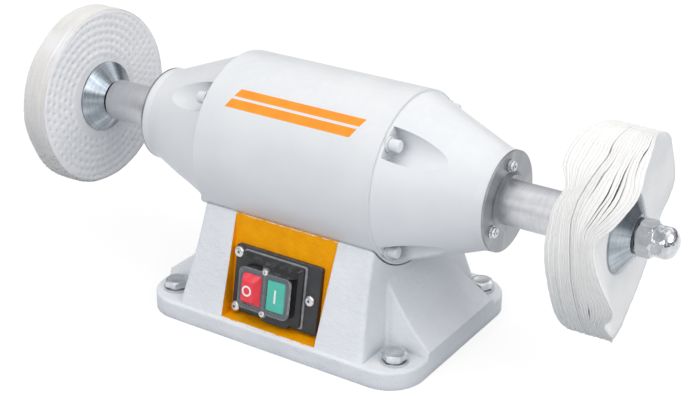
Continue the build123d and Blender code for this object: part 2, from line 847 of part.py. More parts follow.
def make_stator_windings():
    inset = seat_clearance
    reach = stator_half_length + winding_reach
    bars = slot_bars(slot_width - 2 * inset, slot_inner_radius + 2 * inset, slot_outer_radius - inset,
                     stator_half_length + winding_bulge)
    start = stator_half_length + inset
    turns = ring(start, reach, slot_inner_radius + inset, slot_outer_radius + winding_bulge)
    turns = fillet(turns.edges().group_by(Axis.X)[-1], winding_round)
    return turns + left_of(turns) + bars


def make_rotor_core():
    return ring(-stator_half_length, stator_half_length, shaft_rotor_radius + press_clearance, rotor_radius)


def make_rotor_end_rings():
    outer = rotor_radius - seat_clearance
    end = ring(stator_half_length, stator_half_length + end_ring_length, outer - end_ring_width, outer)
    return group([end, left_of(end)])


# Switch


def switch_plate_screw_places():
    plate_x, plate_y = switch_plate_centre
    return [switch_plane * Pos(plate_x + x, plate_y + y, 0) for x, y in switch_plate_screws]


def on_switch(height):
    return switch_plane * Pos(*switch_centre, height)


def block_hole(margin, depth):
    width, height = block_size
    return Box(width + 2 * margin, height + 2 * margin, depth)


def make_switch_plate():
    width, height = switch_plate_size
    plate = extrude(RectangleRounded(width, height, switch_plate_corner), switch_plate_thickness)
    plate = chamfer(plate.edges().group_by(Axis.Z)[-1], switch_plate_chamfer)
    plate = switch_plane * Pos(*switch_plate_centre, 0) * plate
    plate -= on_switch(0) * block_hole(slide_clearance, 4 * switch_plate_thickness)
    for place in switch_plate_screw_places():
        plate -= place * Cylinder(switch_plate_screw[0] + slide_clearance, 4 * switch_plate_thickness)
    return plate


def make_switch_plate_screws():
    screw = pan_screw(switch_plate_screw, switch_plate_thickness + recess_wall)
    return group(place * Pos(0, 0, switch_plate_thickness) * screw for place in switch_plate_screw_places())


def make_switch_gasket():
    sheet = extrude(RectangleRounded(*gasket_size, gasket_corner), gasket_thickness)
    sheet = on_switch(switch_plate_thickness) * Pos(*gasket_shift, 0) * sheet
    return sheet - on_switch(switch_plate_thickness) * block_hole(slide_clearance, 4 * gasket_thickness)


def button_places(height):
    return [on_switch(height) * Pos(side * button_pitch / 2, 0, 0) for side in (-1, 1)]


def button_outline(margin):
    width, height = button_size
    return RectangleRounded(width + 2 * margin, height + 2 * margin, button_corner + margin)


def make_switch_body():
    seat = switch_plate_thickness + gasket_thickness
    floor = body_flange_thickness + body_rise
    top = body_flange_thickness + boss_height
    flange = extrude(RectangleRounded(*body_size, body_corner), body_flange_thickness)
    shoulder = RectangleRounded(*body_shoulder_size, body_corner)
    top_place = Pos(body_shift[0] + body_top_shift, (body_top_up - body_top_down) / 2, floor)
    rise = loft([
        Pos(*body_shift, body_flange_thickness) * shoulder,
        top_place * RectangleRounded(*body_top_size, body_corner),
    ])
    depth = block_depth + seat
    block = Pos(0, 0, -depth / 2) * block_hole(0, depth)
    body = Pos(*body_shift, 0) * flange + rise + block
    body += extrude(RectangleRounded(*frame_size(), frame_corner), top)
    for place in frame_screw_spots():
        body += place * extrude(Circle(frame_tab_radius), top)
    body += switch_hood(floor, top)
    for place in frame_screw_spots():
        body -= place * Pos(0, 0, top) * extrude(Circle(frame_tab_radius + hood_gap), 2 * hood_height)
    lip_left, lip_right = lip_ends
    lip = [
        (-lip_left, 0), (-lip_left, -body_top_down - lip_drop),
        (lip_right - lip_drop, -body_top_down - lip_drop), (lip_right, -body_top_down), (lip_right, 0),
    ]
    body += Pos(0, 0, floor - lip_thickness) * extrude(make_face(Polyline(*lip, close=True)), lip_thickness)
    body = on_switch(seat) * body
    well = extrude(button_outline(slide_clearance), button_depth + button_travel + boss_height)
    well_floor = seat + top - button_depth - button_travel - well_relief
    for place in button_places(well_floor):
        body -= place * well
    for place in frame_screw_places(seat + top):
        body -= place * Cylinder(small_screw[0] + screw_clearance, 2 * frame_screw_depth)
    return body


def switch_hood(floor, top):
    """Sloping hood over the upper edge of the clear frame, with slanted ends."""
    inner = frame_screw_pitch / 2 + hood_gap
    crest = top + hood_height
    section = [
        (inner, 0), (inner, crest), (inner + hood_depth, crest), (body_top_up, floor), (body_top_up, 0)]
    right = body_shift[0] + body_top_shift + body_top_width / 2
    ends = [
        (-hood_reach, 0), (-hood_reach, floor), (-hood_reach + hood_end_slope, crest),
        (right - hood_end_slope, crest), (right, floor), (right, 0),
    ]
    return prism(Plane.YZ, section, body_top_width) & prism(Plane.XZ, ends, body_top_size[1])


def frame_size():
    width, height = button_size
    return button_pitch + width + 2 * frame_border, height + 2 * frame_border


def frame_screw_spots():
    return [Pos(0, side * frame_screw_pitch / 2, 0) for side in (-1, 1)]


def frame_screw_places(height):
    return [on_switch(height) * spot for spot in frame_screw_spots()]


def frame_base():
    """Height of the top of the switch body, where the clear frame lies."""
    return switch_plate_thickness + gasket_thickness + body_flange_thickness + boss_height


def make_switch_frame():
    width, height = button_size
    outline = RectangleRounded(
        width + frame_border + frame_inner_border, height + 2 * frame_border, frame_corner)
    rim = extrude(outline, frame_height)
    shift = (button_pitch + frame_border - frame_inner_border) / 2
    frame = [on_switch(frame_base()) * Pos(side * shift, 0, 0) * rim for side in (-1, 1)]
    tab = extrude(Circle(frame_tab_radius), frame_height / 2)
    frame += [place * tab for place in frame_screw_places(frame_base())]
    clear = frame[0] + frame[1:]
    window = extrude(button_outline(slide_clearance), frame_height)
    for place in button_places(frame_base()):
        clear -= place * window
    head = extrude(Circle(small_screw[1] + slide_clearance), frame_height)
    for place in frame_screw_places(frame_base()):
        clear -= place * Cylinder(small_screw[0] + slide_clearance, 4 * frame_height)
        clear -= place * Pos(0, 0, frame_height / 2) * head
    return clear


def make_frame_screws():
    screw = pan_screw(small_screw, frame_height / 2 + frame_screw_depth - slide_clearance)
    return group(place * Pos(0, 0, frame_height / 2) * screw for place in frame_screw_places(frame_base()))


def make_stop_button():
    place = button_places(frame_base() - button_depth)[0]
    button = extrude(button_outline(0), button_depth + stop_rise)
    height = button_depth + stop_rise
    shoulder = height - stop_chamfer_drop
    for plane, size, run in zip((Plane.XZ, Plane.YZ), button_size, stop_chamfer):
        half = size / 2
        outline = [
            (-half, 0), (half, 0), (half, shoulder), (half - run, height), (run - half, height),
            (-half, shoulder),
        ]
        button &= prism(plane, outline, max(button_size))
    return place * button


def make_start_button():
    place = button_places(frame_base() - button_depth)[1]
    button = extrude(button_outline(0), button_depth + start_rise)
    return place * chamfer(button.edges().group_by(Axis.Z)[-1], start_chamfer)


# Gland for a mains lead, in the rear wall


def make_cable_gland():
    collar = hexagon(gland_across_flats, gland_hex_height)
    cap = Pos(0, 0, gland_hex_height) * Cone(
        gland_cap_radius, gland_cap_radius * gland_cap_taper, gland_cap_length,
        align=(Align.CENTER, Align.CENTER, Align.MIN))
    cap = fillet(cap.edges().group_by(Axis.Z)[-1], gland_cap_round)
    thread_length = wall + gland_nut_height + gland_thread_spare
    thread = Pos(0, 0, -thread_length / 2) * Cylinder(gland_thread_radius, thread_length)
    gland = collar + cap + thread - Cylinder(gland_bore_radius, 4 * base_flange_height)
    return rear_plane * Pos(*gland_place, 0) * gland


def make_gland_nut():
    nut = hexagon(gland_nut_flats, gland_nut_height)
    nut -= Cylinder(gland_thread_radius + screw_clearance, 4 * gland_nut_height)
    return rear_plane * Pos(*gland_place, -wall - gland_nut_height) * nut


# Run capacitor on the bottom cover


def strap_screw_places():
    x, y = capacitor_place
    spread = capacitor_radius + strap_foot / 2
    return [Pos(x, y + side * spread, 0) for side in (-1, 1)]


def capacitor_height():
    return cover_seat_z + capacitor_radius + seat_clearance


def make_capacitor():
    x, y = capacitor_place
    can = Rot(0, 90, 0) * Cylinder(capacitor_radius, capacitor_length)
    can = chamfer(can.edges().filter_by(GeomType.CIRCLE), capacitor_chamfer)
    tab = Box(capacitor_tab[0], capacitor_tab[1], capacitor_tab[2])
    end_x = capacitor_length / 2 + capacitor_tab[0] / 2
    can += [Pos(end_x, side * capacitor_radius / 2, 0) * tab for side in (-1, 1)]
    return Pos(x, y, capacitor_height()) * can


def make_capacitor_strap():
    x, y = capacitor_place
    inner = capacitor_radius + seat_clearance
    outer = inner + strap_thickness
    loop = Circle(outer) + Pos(0, -outer / 2) * Rectangle(2 * outer, outer)
    foot_y = -inner + strap_thickness / 2
    loop += Pos(0, foot_y) * Rectangle(2 * (outer + strap_foot), strap_thickness)
    loop -= Circle(inner) + Pos(0, -outer / 2) * Rectangle(2 * inner, outer)
    loop -= Pos(0, -inner - outer) * Rectangle(4 * outer, 2 * outer)
    strap = extrude(Plane.YZ * loop, strap_width / 2, both=True)
    strap = Pos(x, y, cover_seat_z + inner) * strap
    for place in strap_screw_places():
        strap -= place * Cylinder(small_screw[0] + slide_clearance, 4 * base_flange_height)
    return strap


def make_strap_screws():
    screw = pan_screw(small_screw, strap_thickness + cover_thickness)
    height = cover_seat_z + strap_thickness
    return group(place * Pos(0, 0, height) * screw for place in strap_screw_places())


def make_nodes():
    bell = make_right_bell()
    tube = make_right_tube()
    tube_plate = make_right_tube_plate()
    inner_flange = make_flange(wheel_x, -inner_flange_length)
    outer_flange = make_flange(hub_end_x, outer_flange_length)
    nut_washer = ring(nut_washer_x, nut_x, shaft_thread_radius + press_clearance, nut_washer_radius)
    nut = make_dome_nut(nut_x)
    nodes = {
        "base_housing": make_base_housing(),
        "bottom_cover": make_bottom_cover(),
        "bottom_cover_screws": make_cover_screws(),
        "base_bolts": make_base_bolts(),
        "base_bolt_washers": make_base_washers(),
        "motor_saddle_screws": make_saddle_screws(),
        "motor_barrel": make_motor_barrel(),
        "right_end_bell": bell,
        "left_end_bell": left_of(bell),
        "end_bell_screws": make_tie_screws(),
        "end_bell_washers": make_tie_washers(),
        "right_extension_tube": tube,
        "left_extension_tube": left_of(tube),
        "right_tube_plate": tube_plate,
        "left_tube_plate": left_of(tube_plate),
        "tube_plate_screws": make_plate_screws(),
        "spindle_shaft": make_shaft(),
        "right_inner_flange": inner_flange,
        "left_inner_flange": left_of(inner_flange),
        "right_outer_flange": outer_flange,
        "left_outer_flange": left_of(outer_flange),
        "loose_cotton_mop": make_loose_mop(wheel_x),
        "stitched_cotton_wheel": left_of(make_stitched_wheel(wheel_x)),
        "right_nut_washer": nut_washer,
        "left_nut_washer": left_of(nut_washer),
        "right_dome_nut": nut,
        "left_dome_nut": left_of(nut),
        "bearing_preload_washer": ring(
            right_bearing_x + bearing_width, bearing_stop_x, preload_bore_radius,
            bearing_outer_radius - press_clearance),
        "stator_core": make_stator_core(),
        "stator_windings": make_stator_windings(),
        "rotor_core": make_rotor_core(),
        "rotor_end_rings": make_rotor_end_rings(),
        "switch_plate": make_switch_plate(),
        "switch_plate_screws": make_switch_plate_screws(),
        "switch_gasket": make_switch_gasket(),
        "switch_body": make_switch_body(),
        "switch_frame": make_switch_frame(),
        "switch_frame_screws": make_frame_screws(),
        "stop_button": make_stop_button(),
        "start_button": make_start_button(),
        "cable_gland": make_cable_gland(),
        "cable_gland_nut": make_gland_nut(),
        "capacitor": make_capacitor(),
        "capacitor_strap": make_capacitor_strap(),
        "capacitor_strap_screws": make_strap_screws(),
    }
    for part in ("outer_ring", "inner_ring", "balls"):
        nodes["right_bearing_" + part] = make_bearing(right_bearing_x, part)
        nodes["left_bearing_" + part] = left_of(make_bearing(bearing_x, part))
    return nodes


os.makedirs("parts", exist_ok=True)
for name, shape in make_nodes().items():
    export_step(shape, f"parts/{name}.step")
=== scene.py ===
from functools import cache
from math import atan2, cos, exp, floor, hypot, pi, radians, sin

import bmesh
import bpy
from mathutils import Matrix, Vector, noise


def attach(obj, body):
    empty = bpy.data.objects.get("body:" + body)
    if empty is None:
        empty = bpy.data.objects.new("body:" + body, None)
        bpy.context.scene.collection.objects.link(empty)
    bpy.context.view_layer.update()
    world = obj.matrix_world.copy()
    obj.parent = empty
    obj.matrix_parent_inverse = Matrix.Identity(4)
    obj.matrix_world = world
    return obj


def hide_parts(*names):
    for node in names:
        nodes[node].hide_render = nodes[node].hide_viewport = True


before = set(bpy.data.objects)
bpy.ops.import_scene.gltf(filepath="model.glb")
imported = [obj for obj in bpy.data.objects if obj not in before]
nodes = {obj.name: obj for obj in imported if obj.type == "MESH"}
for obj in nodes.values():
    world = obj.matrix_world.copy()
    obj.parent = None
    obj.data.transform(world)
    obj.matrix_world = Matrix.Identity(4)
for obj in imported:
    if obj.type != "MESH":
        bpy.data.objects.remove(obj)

# Bench polishing machine. Metres, +Z up, +X along the spindle to the right, the switch faces -Y.
# Lengths are written in millimetres times mm. Angles round the spindle start at the rear
# and rise over the top.

scene = bpy.context.scene
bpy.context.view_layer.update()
mm = 0.001

# Sizes shared with the frame
axis_height = 133.5 * mm
wheel_radius = 75 * mm
wheel_bore = 8.3 * mm
flange_radius = 30 * mm
wheel_x = 230.5 * mm
hub_end_x = 248.5 * mm
tube_plate_x = 157.8 * mm
plate_screw_circle = 28.5 * mm
base_bolt_place = Vector((104, 67, 17)) * mm

# The base's sloping front, the recess in it and the ledge over it, under the barrel
front_foot_y, front_foot_z = -86 * mm, 15 * mm
front_slope = 0.36793
recess_half_width, recess_flare = 43.4 * mm, 0.04528
recess_bottom, recess_top = 15.3 * mm, 94.4 * mm
recess_back_y = -55.5 * mm
ledge_z, ledge_y = 91 * mm, -53 * mm

# Switch plane: u to the right, v up the recess floor, height out of it
switch_origin = Vector((0, -71.85, 16)) * mm
switch_u = Vector((1, 0, 0))
switch_v = Vector((0, 0.18738, 0.98229))
switch_out = Vector((0, -0.98229, 0.18738))
stop_mark = (-17.1 * mm, 27.4 * mm)
start_mark = (5.0 * mm, 27.2 * mm)

# Clear cover on that plane: its middle, how far each half lies from it,
# half the size of one half and its corner radius
cover_middle = (-5.5 * mm, 27.2 * mm)
cover_shift = 11.725 * mm
cover_half = (12.275 * mm, 16.85 * mm)
cover_corner = 5.0 * mm


# Node helpers

def srgb(red, green, blue):
    """A colour as it is seen on screen, 0 to 255, as the shader takes it."""
    def linear(part):
        part /= 255
        return part / 12.92 if part <= 0.04045 else ((part + 0.055) / 1.055) ** 2.4
    return (linear(red), linear(green), linear(blue), 1.0)


def put(tree, kind, inputs=None, **settings):
    """Adds a shader node, with its settings and with each input a value or a link."""
    node = tree.nodes.new("ShaderNode" + kind)
    for name, value in settings.items():
        setattr(node, name, value)
    for key, value in (inputs or {}).items():
        if isinstance(value, bpy.types.NodeSocket):
            tree.links.new(value, node.inputs[key])
        else:
            node.inputs[key].default_value = value
    return node


def derive(kind, inputs, **settings):
    """Adds a node to the tree that its first link comes from, and gives its outputs."""
    tree = next(value.id_data for value in inputs.values() if isinstance(value, bpy.types.NodeSocket))
    return put(tree, kind, inputs, **settings).outputs


def feed(node, **links):
    """Links outputs of other nodes to a node's inputs."""
    for label, output in links.items():
        node.id_data.links.new(output, node.inputs[label.replace("_", " ")])


def reckon(operation, *values):
    return derive("Math", dict(enumerate(values)), operation=operation)[0]


def product(first, *others):
    for other in others:
        first = reckon("MULTIPLY", first, other)
    return first


def tint(amount, first, second):
    """A mix of two colours, each a link or written as it is seen on screen."""
    first, second = (srgb(*end) if isinstance(end, tuple) else end for end in (first, second))
    return derive("Mix", {0: amount, 6: first, 7: second}, data_type="RGBA")[2]


def spread(value, low, high, first=0.0, last=1.0):
    """Carries the span from low to high over to another, and stops at its ends."""
    ends = {"Value": value, "From Min": low, "From Max": high, "To Min": first, "To Max": last}
    return derive("MapRange", ends)[0]


def object_place(tree):
    return put(tree, "TexCoord").outputs["Object"]


def mottle(tree, scale, detail, place=None):
    if place is None:
        place = object_place(tree)
    return put(tree, "TexNoise", {"Vector": place, "Scale": scale, "Detail": detail}).outputs[0]


def patches(tree, scale, detail, low=0.3, high=0.7):
    """Soft patches, from 0 to 1."""
    return spread(mottle(tree, scale, detail), low, high)


def split(vector):
    return derive("SeparateXYZ", {0: vector})


def join(*parts):
    return derive("CombineXYZ", dict(enumerate(parts)))[0]


def length(first, second):
    return reckon("SQRT", reckon("ADD", product(first, first), product(second, second)))


def spindle_place(tree):
    """Distance along the spindle, distance from its axis and the angle round it."""
    x, y, z = split(object_place(tree))
    up = reckon("SUBTRACT", z, axis_height)
    return x, length(y, up), reckon("ARCTAN2", up, y)


def switch_place(tree):
    """Place across and up the switch plane."""
    x, y, z = split(object_place(tree))
    back = product(reckon("SUBTRACT", y, switch_origin.y), switch_v.y)
    rise = product(reckon("SUBTRACT", z, switch_origin.z), switch_v.z)
    return x, reckon("ADD", back, rise)


def between(value, low, high, soft):
    """1 where the value lies between two limits, with soft ends."""
    return product(spread(value, low - soft, low + soft), spread(value, high - soft, high + soft, 1.0, 0.0))


# Effects that several finishes share

def new_group(name, inputs, *outputs):
    """A node group, what it is given and the node that takes its results."""
    group = bpy.data.node_groups.new(name, "ShaderNodeTree")
    for label, value in inputs.items():
        group.interface.new_socket(label, in_out="INPUT", socket_type="NodeSocketFloat").default_value = value
    for label in outputs:
        kind = "NodeSocketVector" if label == "Normal" else "NodeSocketFloat"
        group.interface.new_socket(label, in_out="OUTPUT", socket_type=kind)
    return group, group.nodes.new("NodeGroupInput").outputs, group.nodes.new("NodeGroupOutput")


def coat_grain_group():
    """Orange peel of a powder coat over the unevenness of a casting."""
    group, given, result = new_group(
        "coat_grain", {"Peel Scale": 600.0, "Casting Scale": 60.0}, "Height", "Tone", "Gloss")
    peel = mottle(group, given["Peel Scale"], 2.0)
    casting = mottle(group, given["Casting Scale"], 3.0)
    feed(result, Height=reckon("ADD", product(peel, 0.6), casting),
         Tone=patches(group, 22.0, 3.0), Gloss=patches(group, 75.0, 4.0))
    return group


def worn_edges_group():
    """Rounds sharp edges in the shading and marks them, for wear and for a painted highlight along them."""
    group, given, result = new_group("wear_and_painted_light_edges", {"Radius": 0.6 * mm}, "Mask", "Normal")
    rounded = put(group, "Bevel", {"Radius": given["Radius"]}, samples=4).outputs[0]
    plain = put(group, "NewGeometry").outputs["Normal"]
    facing = derive("VectorMath", {0: rounded, 1: plain}, operation="DOT_PRODUCT")["Value"]
    edge = spread(facing, 0.995, 0.90)
    feed(result, Mask=product(edge, patches(group, 260.0, 3.0, 0.35, 0.65)), Normal=rounded)
    return group


def settled_dust_group():
    """Fine dust and lint on the faces that look up."""
    group, given, result = new_group("settled_dust", {"Amount": 0.3}, "Mask")
    facing = put(group, "NewGeometry").outputs["Normal"]
    upward = spread(split(facing)[2], 0.25, 1.0)
    specks = patches(group, 140.0, 5.0, 0.42, 0.72)
    feed(result, Mask=product(upward, specks, given["Amount"]))
    return group


def hollow_grime_group():
    """Painted shade in hollows, where little light reaches, mottled by fine grains."""
    group, given, result = new_group("hollow_grime", {"Reach": 20 * mm}, "Mask")
    open_sky = put(group, "AmbientOcclusion", {"Distance": given["Reach"]}, samples=8).outputs["AO"]
    grains = spread(mottle(group, 650.0, 4.0), 0.36, 0.64, 0.5, 1.0)
    feed(result, Mask=product(spread(open_sky, 0.2, 0.75, 1.0, 0.0), grains))
    return group


def turned_rings_group():
    """Fine rings that a lathe or a polishing belt leaves round the spindle axis, and broad light and dark
    sectors round it that are a painted reflection and vary the roughness.
    """
    group, given, result = new_group("turned_rings", {"Ring Scale": 2500.0}, "Height", "Tone", "Streak")
    x, out, angle = spindle_place(group)
    line = join(x, out, product(angle, 0.0012))
    fine = mottle(group, given["Ring Scale"], 3.0, line)
    broad = mottle(group, 900.0, 2.0, line)
    around = join(reckon("COSINE", angle), reckon("SINE", angle), product(x, 12.0))
    feed(result, Height=fine, Tone=spread(reckon("ADD", fine, broad), 0.7, 1.3),
         Streak=spread(mottle(group, 3.2, 2.0, around), 0.35, 0.65))
    return group


def cloth_weave_group():
    """Plain weave of cotton cloth on the flat cut, with slubs and a soft nap."""
    group, given, result = new_group("cloth_weave", {"Threads": 1300.0}, "Height", "Tone")
    flat = put(group, "UVMap").outputs[0]
    across, along, _ = split(flat)
    turn = product(given["Threads"], 2 * pi)
    weave = product(reckon("SINE", product(across, turn)), reckon("SINE", product(along, turn)), 0.18)
    nap = mottle(group, 900.0, 4.0)
    drawn_out = derive("Mapping", {"Vector": flat, "Scale": (900.0, 60.0, 1.0)})[0]
    slub = product(mottle(group, 1.0, 2.0, drawn_out), 0.5)
    clouds = reckon("ADD", mottle(group, 55.0, 4.0), product(nap, 0.6))
    feed(result, Height=reckon("ADD", weave, reckon("ADD", nap, slub)), Tone=spread(clouds, 0.55, 1.05))
    return group


coat_grain = coat_grain_group()
wear_and_painted_light_edges = worn_edges_group()
settled_dust = settled_dust_group()
hollow_grime = hollow_grime_group()
turned_rings = turned_rings_group()
cloth_weave = cloth_weave_group()


def effect(tree, group, **values):
    given = {label.replace("_", " "): value for label, value in values.items()}
    return put(tree, "Group", given, node_tree=group).outputs


# Finishes

lint_colour = (236, 236, 234)
plastic_dust_colour = (214, 214, 212)
# Colour and reach of the painted shade that darkens hollows
grime_colour = (140, 148, 159)
grime_reach = 13 * mm
mark_white = (244, 244, 243)
mark_edge = 0.12 * mm


def finish(name, **sockets):
    """A material with its Principled shader, whose plain values are set on its own sockets."""
    material = bpy.data.materials.new(name)
    material.use_nodes = True
    tree = material.node_tree
    shader = next(n for n in tree.nodes if n.type == "BSDF_PRINCIPLED")
    for label, value in sockets.items():
        shader.inputs[label.replace("_", " ")].default_value = value
    return material, tree, shader


def bump(shader, height, strength, distance, normal=None):
    given = {"Height": height, "Strength": strength, "Distance": distance}
    if normal is not None:
        given["Normal"] = normal
    feed(shader, Normal=derive("Bump", given)[0])


def coat(name, light, deep, wear_and_painted_light, peel, casting, roughness, depth,
         dust=0.25, edge=0.6 * mm, specular=0.4, grime=0.8):
    """Powder coat or paint on metal. Gives the material, its tree, its shader and its colour."""
    material, tree, shader = finish(name, Metallic=0.0, IOR=1.5, Specular_IOR_Level=specular)
    grain = effect(tree, coat_grain, Peel_Scale=peel, Casting_Scale=casting)
    edges = effect(tree, wear_and_painted_light_edges, Radius=edge)
    lint = effect(tree, settled_dust, Amount=dust)
    hollow = effect(tree, hollow_grime, Reach=grime_reach)
    colour = tint(grain["Tone"], light, deep)
    # Lighter edges: wear and a painted highlight
    colour = tint(product(edges["Mask"], 0.5), colour, wear_and_painted_light)
    colour = tint(lint["Mask"], colour, lint_colour)
    # Painted shade in the hollows
    colour = tint(product(hollow["Mask"], grime), colour, grime_colour)
    gloss = spread(grain["Gloss"], 0.0, 1.0, roughness - 0.05, roughness + 0.07)
    rough = reckon("ADD", gloss, product(lint["Mask"], 0.25))
    feed(shader, Base_Color=colour, Roughness=rough)
    bump(shader, grain["Height"], 0.5, depth, edges["Normal"])
    return material, tree, shader, colour


def smooth_coat(name, **more):
    """The coat of the motor's shell. Gives the material, its tree, its shader and its colour."""
    return coat(name, (227, 229, 231), (220, 223, 226), (236, 238, 240),
                peel=700.0, casting=25.0, roughness=0.36, depth=0.12 * mm, **more)


# Two bands on the barrel: their edges in degrees, the angle and slope of their slanted ends, and those ends
band_edges = ((125.0, 131.0), (132.9, 139.3))
band_middle = radians(132)
band_slant = 30 * mm
band_ends = (-56.0 * mm, 57.0 * mm)


def barrel_coat():
    """The smooth coat with two plain orange bands round its upper front."""
    # Less painted shade in its hollows than the other coats have
    material, tree, shader, colour = smooth_coat("barrel_coat_with_bands", grime=0.4)
    x, out, angle = spindle_place(tree)
    upper, lower = (between(angle, radians(low), radians(high), 0.0015) for low, high in band_edges)
    slant = reckon("ADD", x, product(reckon("SUBTRACT", angle, band_middle), band_slant))
    ends = between(slant, *band_ends, 0.2 * mm)
    skin = spread(out, 66.5 * mm, 67.0 * mm)
    band = product(reckon("MAXIMUM", upper, lower), ends, skin)
    ink = tint(patches(tree, 90.0, 3.0), (246, 156, 38), (241, 147, 28))
    feed(shader, Base_Color=tint(band, colour, ink))
    return material


def base_coat():
    """The coat on the base casting, with the ledge under the barrel a touch lighter and free of the painted
    shade of the hollows, and the switch recess brushed yellow.
    """
    material, tree, shader, colour = coat(
        "cast_grey_coat", (234, 237, 240), (224, 227, 232), (240, 242, 244), peel=620.0,
        casting=150.0, roughness=0.46, depth=1.8 * mm, dust=0.35, edge=1.2 * mm, specular=0.12)
    x, y, z = split(object_place(tree))
    # The ledge under the barrel keeps a tone a touch lighter, without the painted shade of the hollows
    on_ledge = product(spread(z, ledge_z, ledge_z + 2 * mm), spread(y, ledge_y, ledge_y + 2 * mm, 1.0, 0.0))
    ledge_tone = tint(patches(tree, 200.0, 3.0), (238, 240, 243), (226, 229, 233))
    colour = tint(on_ledge, colour, ledge_tone)
    ragged = product(reckon("SUBTRACT", mottle(tree, 180.0, 3.0), 0.5), 0.5 * mm)
    front = reckon("ADD", product(reckon("SUBTRACT", z, front_foot_z), front_slope), front_foot_y)
    behind = spread(reckon("ADD", reckon("SUBTRACT", y, front), ragged), 0.03 * mm, 0.09 * mm)
    ragged_y = reckon("ADD", y, product(ragged, 2.0))
    before_back = spread(ragged_y, recess_back_y, recess_back_y + 0.2 * mm, 1.0, 0.0)
    flared = reckon("SUBTRACT", reckon("ABSOLUTE", x), product(z, recess_flare))
    within = spread(flared, recess_half_width, recess_half_width + 0.15 * mm, 1.0, 0.0)
    above = spread(z, recess_bottom, recess_bottom + 0.3 * mm)
    below = spread(z, recess_top, recess_top + 0.2 * mm, 1.0, 0.0)
    yellow = tint(patches(tree, 110.0, 4.0), (252, 172, 0), (245, 161, 0))
    recess = product(behind, before_back, within, above, below)
    feed(shader, Base_Color=tint(recess, colour, yellow))
    return material


def plain_metal(name, light, deep, roughness, grain, depth=0.04 * mm, edge=0.4 * mm):
    """Rolled, plated or ground metal with a fine grain."""
    material, tree, shader = finish(name, Metallic=1.0)
    fine = mottle(tree, grain, 3.0)
    marks = mottle(tree, 90.0, 4.0)
    edges = effect(tree, wear_and_painted_light_edges, Radius=edge)
    colour = tint(spread(reckon("ADD", fine, marks), 0.7, 1.3), light, deep)
    # Lighter edges: wear and a painted highlight
    feed(shader, Base_Color=tint(product(edges["Mask"], 0.4), colour, (235, 236, 238)),
         Roughness=spread(marks, 0.3, 0.7, roughness - 0.06, roughness + 0.08))
    bump(shader, fine, 0.4, depth, edges["Normal"])
    return material


def turned_metal(name, light, deep, roughness, ring_scale, depth, anisotropy, painted_reflections=0.65):
    """Metal turned or polished round the spindle axis, with a painted reflection swept in sectors round that
    axis.
    """
    material, tree, shader = finish(name, Metallic=1.0, Anisotropic=anisotropy)
    rings = effect(tree, turned_rings, Ring_Scale=ring_scale)
    edges = effect(tree, wear_and_painted_light_edges, Radius=0.4 * mm)
    # Painted reflection: colour swept in light and dark sectors round the spindle
    tone = reckon("ADD", product(rings["Tone"], 1.0 - painted_reflections), product(rings["Streak"], painted_reflections))
    colour = tint(tone, light, deep)
    # Lighter edges: wear and a painted highlight
    feed(shader, Base_Color=tint(product(edges["Mask"], 0.5), colour, (238, 239, 241)),
         Roughness=spread(rings["Streak"], 0.0, 1.0, roughness - 0.03, roughness + 0.04),
         Tangent=put(tree, "Tangent", direction_type="RADIAL", axis="X").outputs[0])
    bump(shader, rings["Height"], 0.35, depth, edges["Normal"])
    return material


def laid_metal(name, light, deep, direction, pitch, stains, dull, strength, depth, **sockets):
    """Metal sheets or wires laid side by side, in direction 0 along the spindle or 1 outwards from it."""
    material, tree, shader = finish(name, Metallic=1.0, **sockets)
    lines = reckon("SINE", product(spindle_place(tree)[direction], 2 * pi / pitch))
    marks = mottle(tree, *stains)
    feed(shader, Base_Color=tint(marks, light, deep), Roughness=spread(marks, 0.3, 0.7, *dull))
    bump(shader, lines, strength, depth)
    return material


def moulded(name, light, deep, roughness, depth=0.08 * mm, scale=900.0, edge=0.4 * mm):
    """Moulded plastic or rubber. Gives the material, its tree, its shader and its colour."""
    material, tree, shader = finish(name, Metallic=0.0, IOR=1.5)
    grain = mottle(tree, scale, 2.0)
    rubbed = mottle(tree, 120.0, 4.0)
    edges = effect(tree, wear_and_painted_light_edges, Radius=edge)
    lint = effect(tree, settled_dust, Amount=0.15)
    colour = tint(spread(rubbed, 0.3, 0.7), light, deep)
    colour = tint(lint["Mask"], colour, plastic_dust_colour)
    feed(shader, Base_Color=colour, Roughness=spread(rubbed, 0.3, 0.7, roughness - 0.05, roughness + 0.08))
    bump(shader, grain, 0.4, depth, edges["Normal"])
    return material, tree, shader, colour


def ring_mark_red():
    """Red button with a white ring on its face."""
    material, tree, shader, colour = moulded(
        "red_plastic", (246, 58, 76), (238, 50, 68), roughness=0.2, edge=0.2 * mm)
    off = [reckon("SUBTRACT", place, middle) for place, middle in zip(switch_place(tree), stop_mark)]
    mark = between(length(*off), 2.85 * mm, 4.3 * mm, mark_edge)
    feed(shader, Base_Color=tint(mark, colour, mark_white))
    return material


def bar_mark_green():
    """Green button with a white bar on its face."""
    material, tree, shader, colour = moulded(
        "green_plastic", (82, 199, 179), (74, 190, 170), roughness=0.2, edge=0.2 * mm)
    across, along = (between(place, middle - half, middle + half, mark_edge) for place, middle, half
                     in zip(switch_place(tree), start_mark, (0.8 * mm, 5.4 * mm)))
    feed(shader, Base_Color=tint(product(across, along), colour, mark_white))
    return material


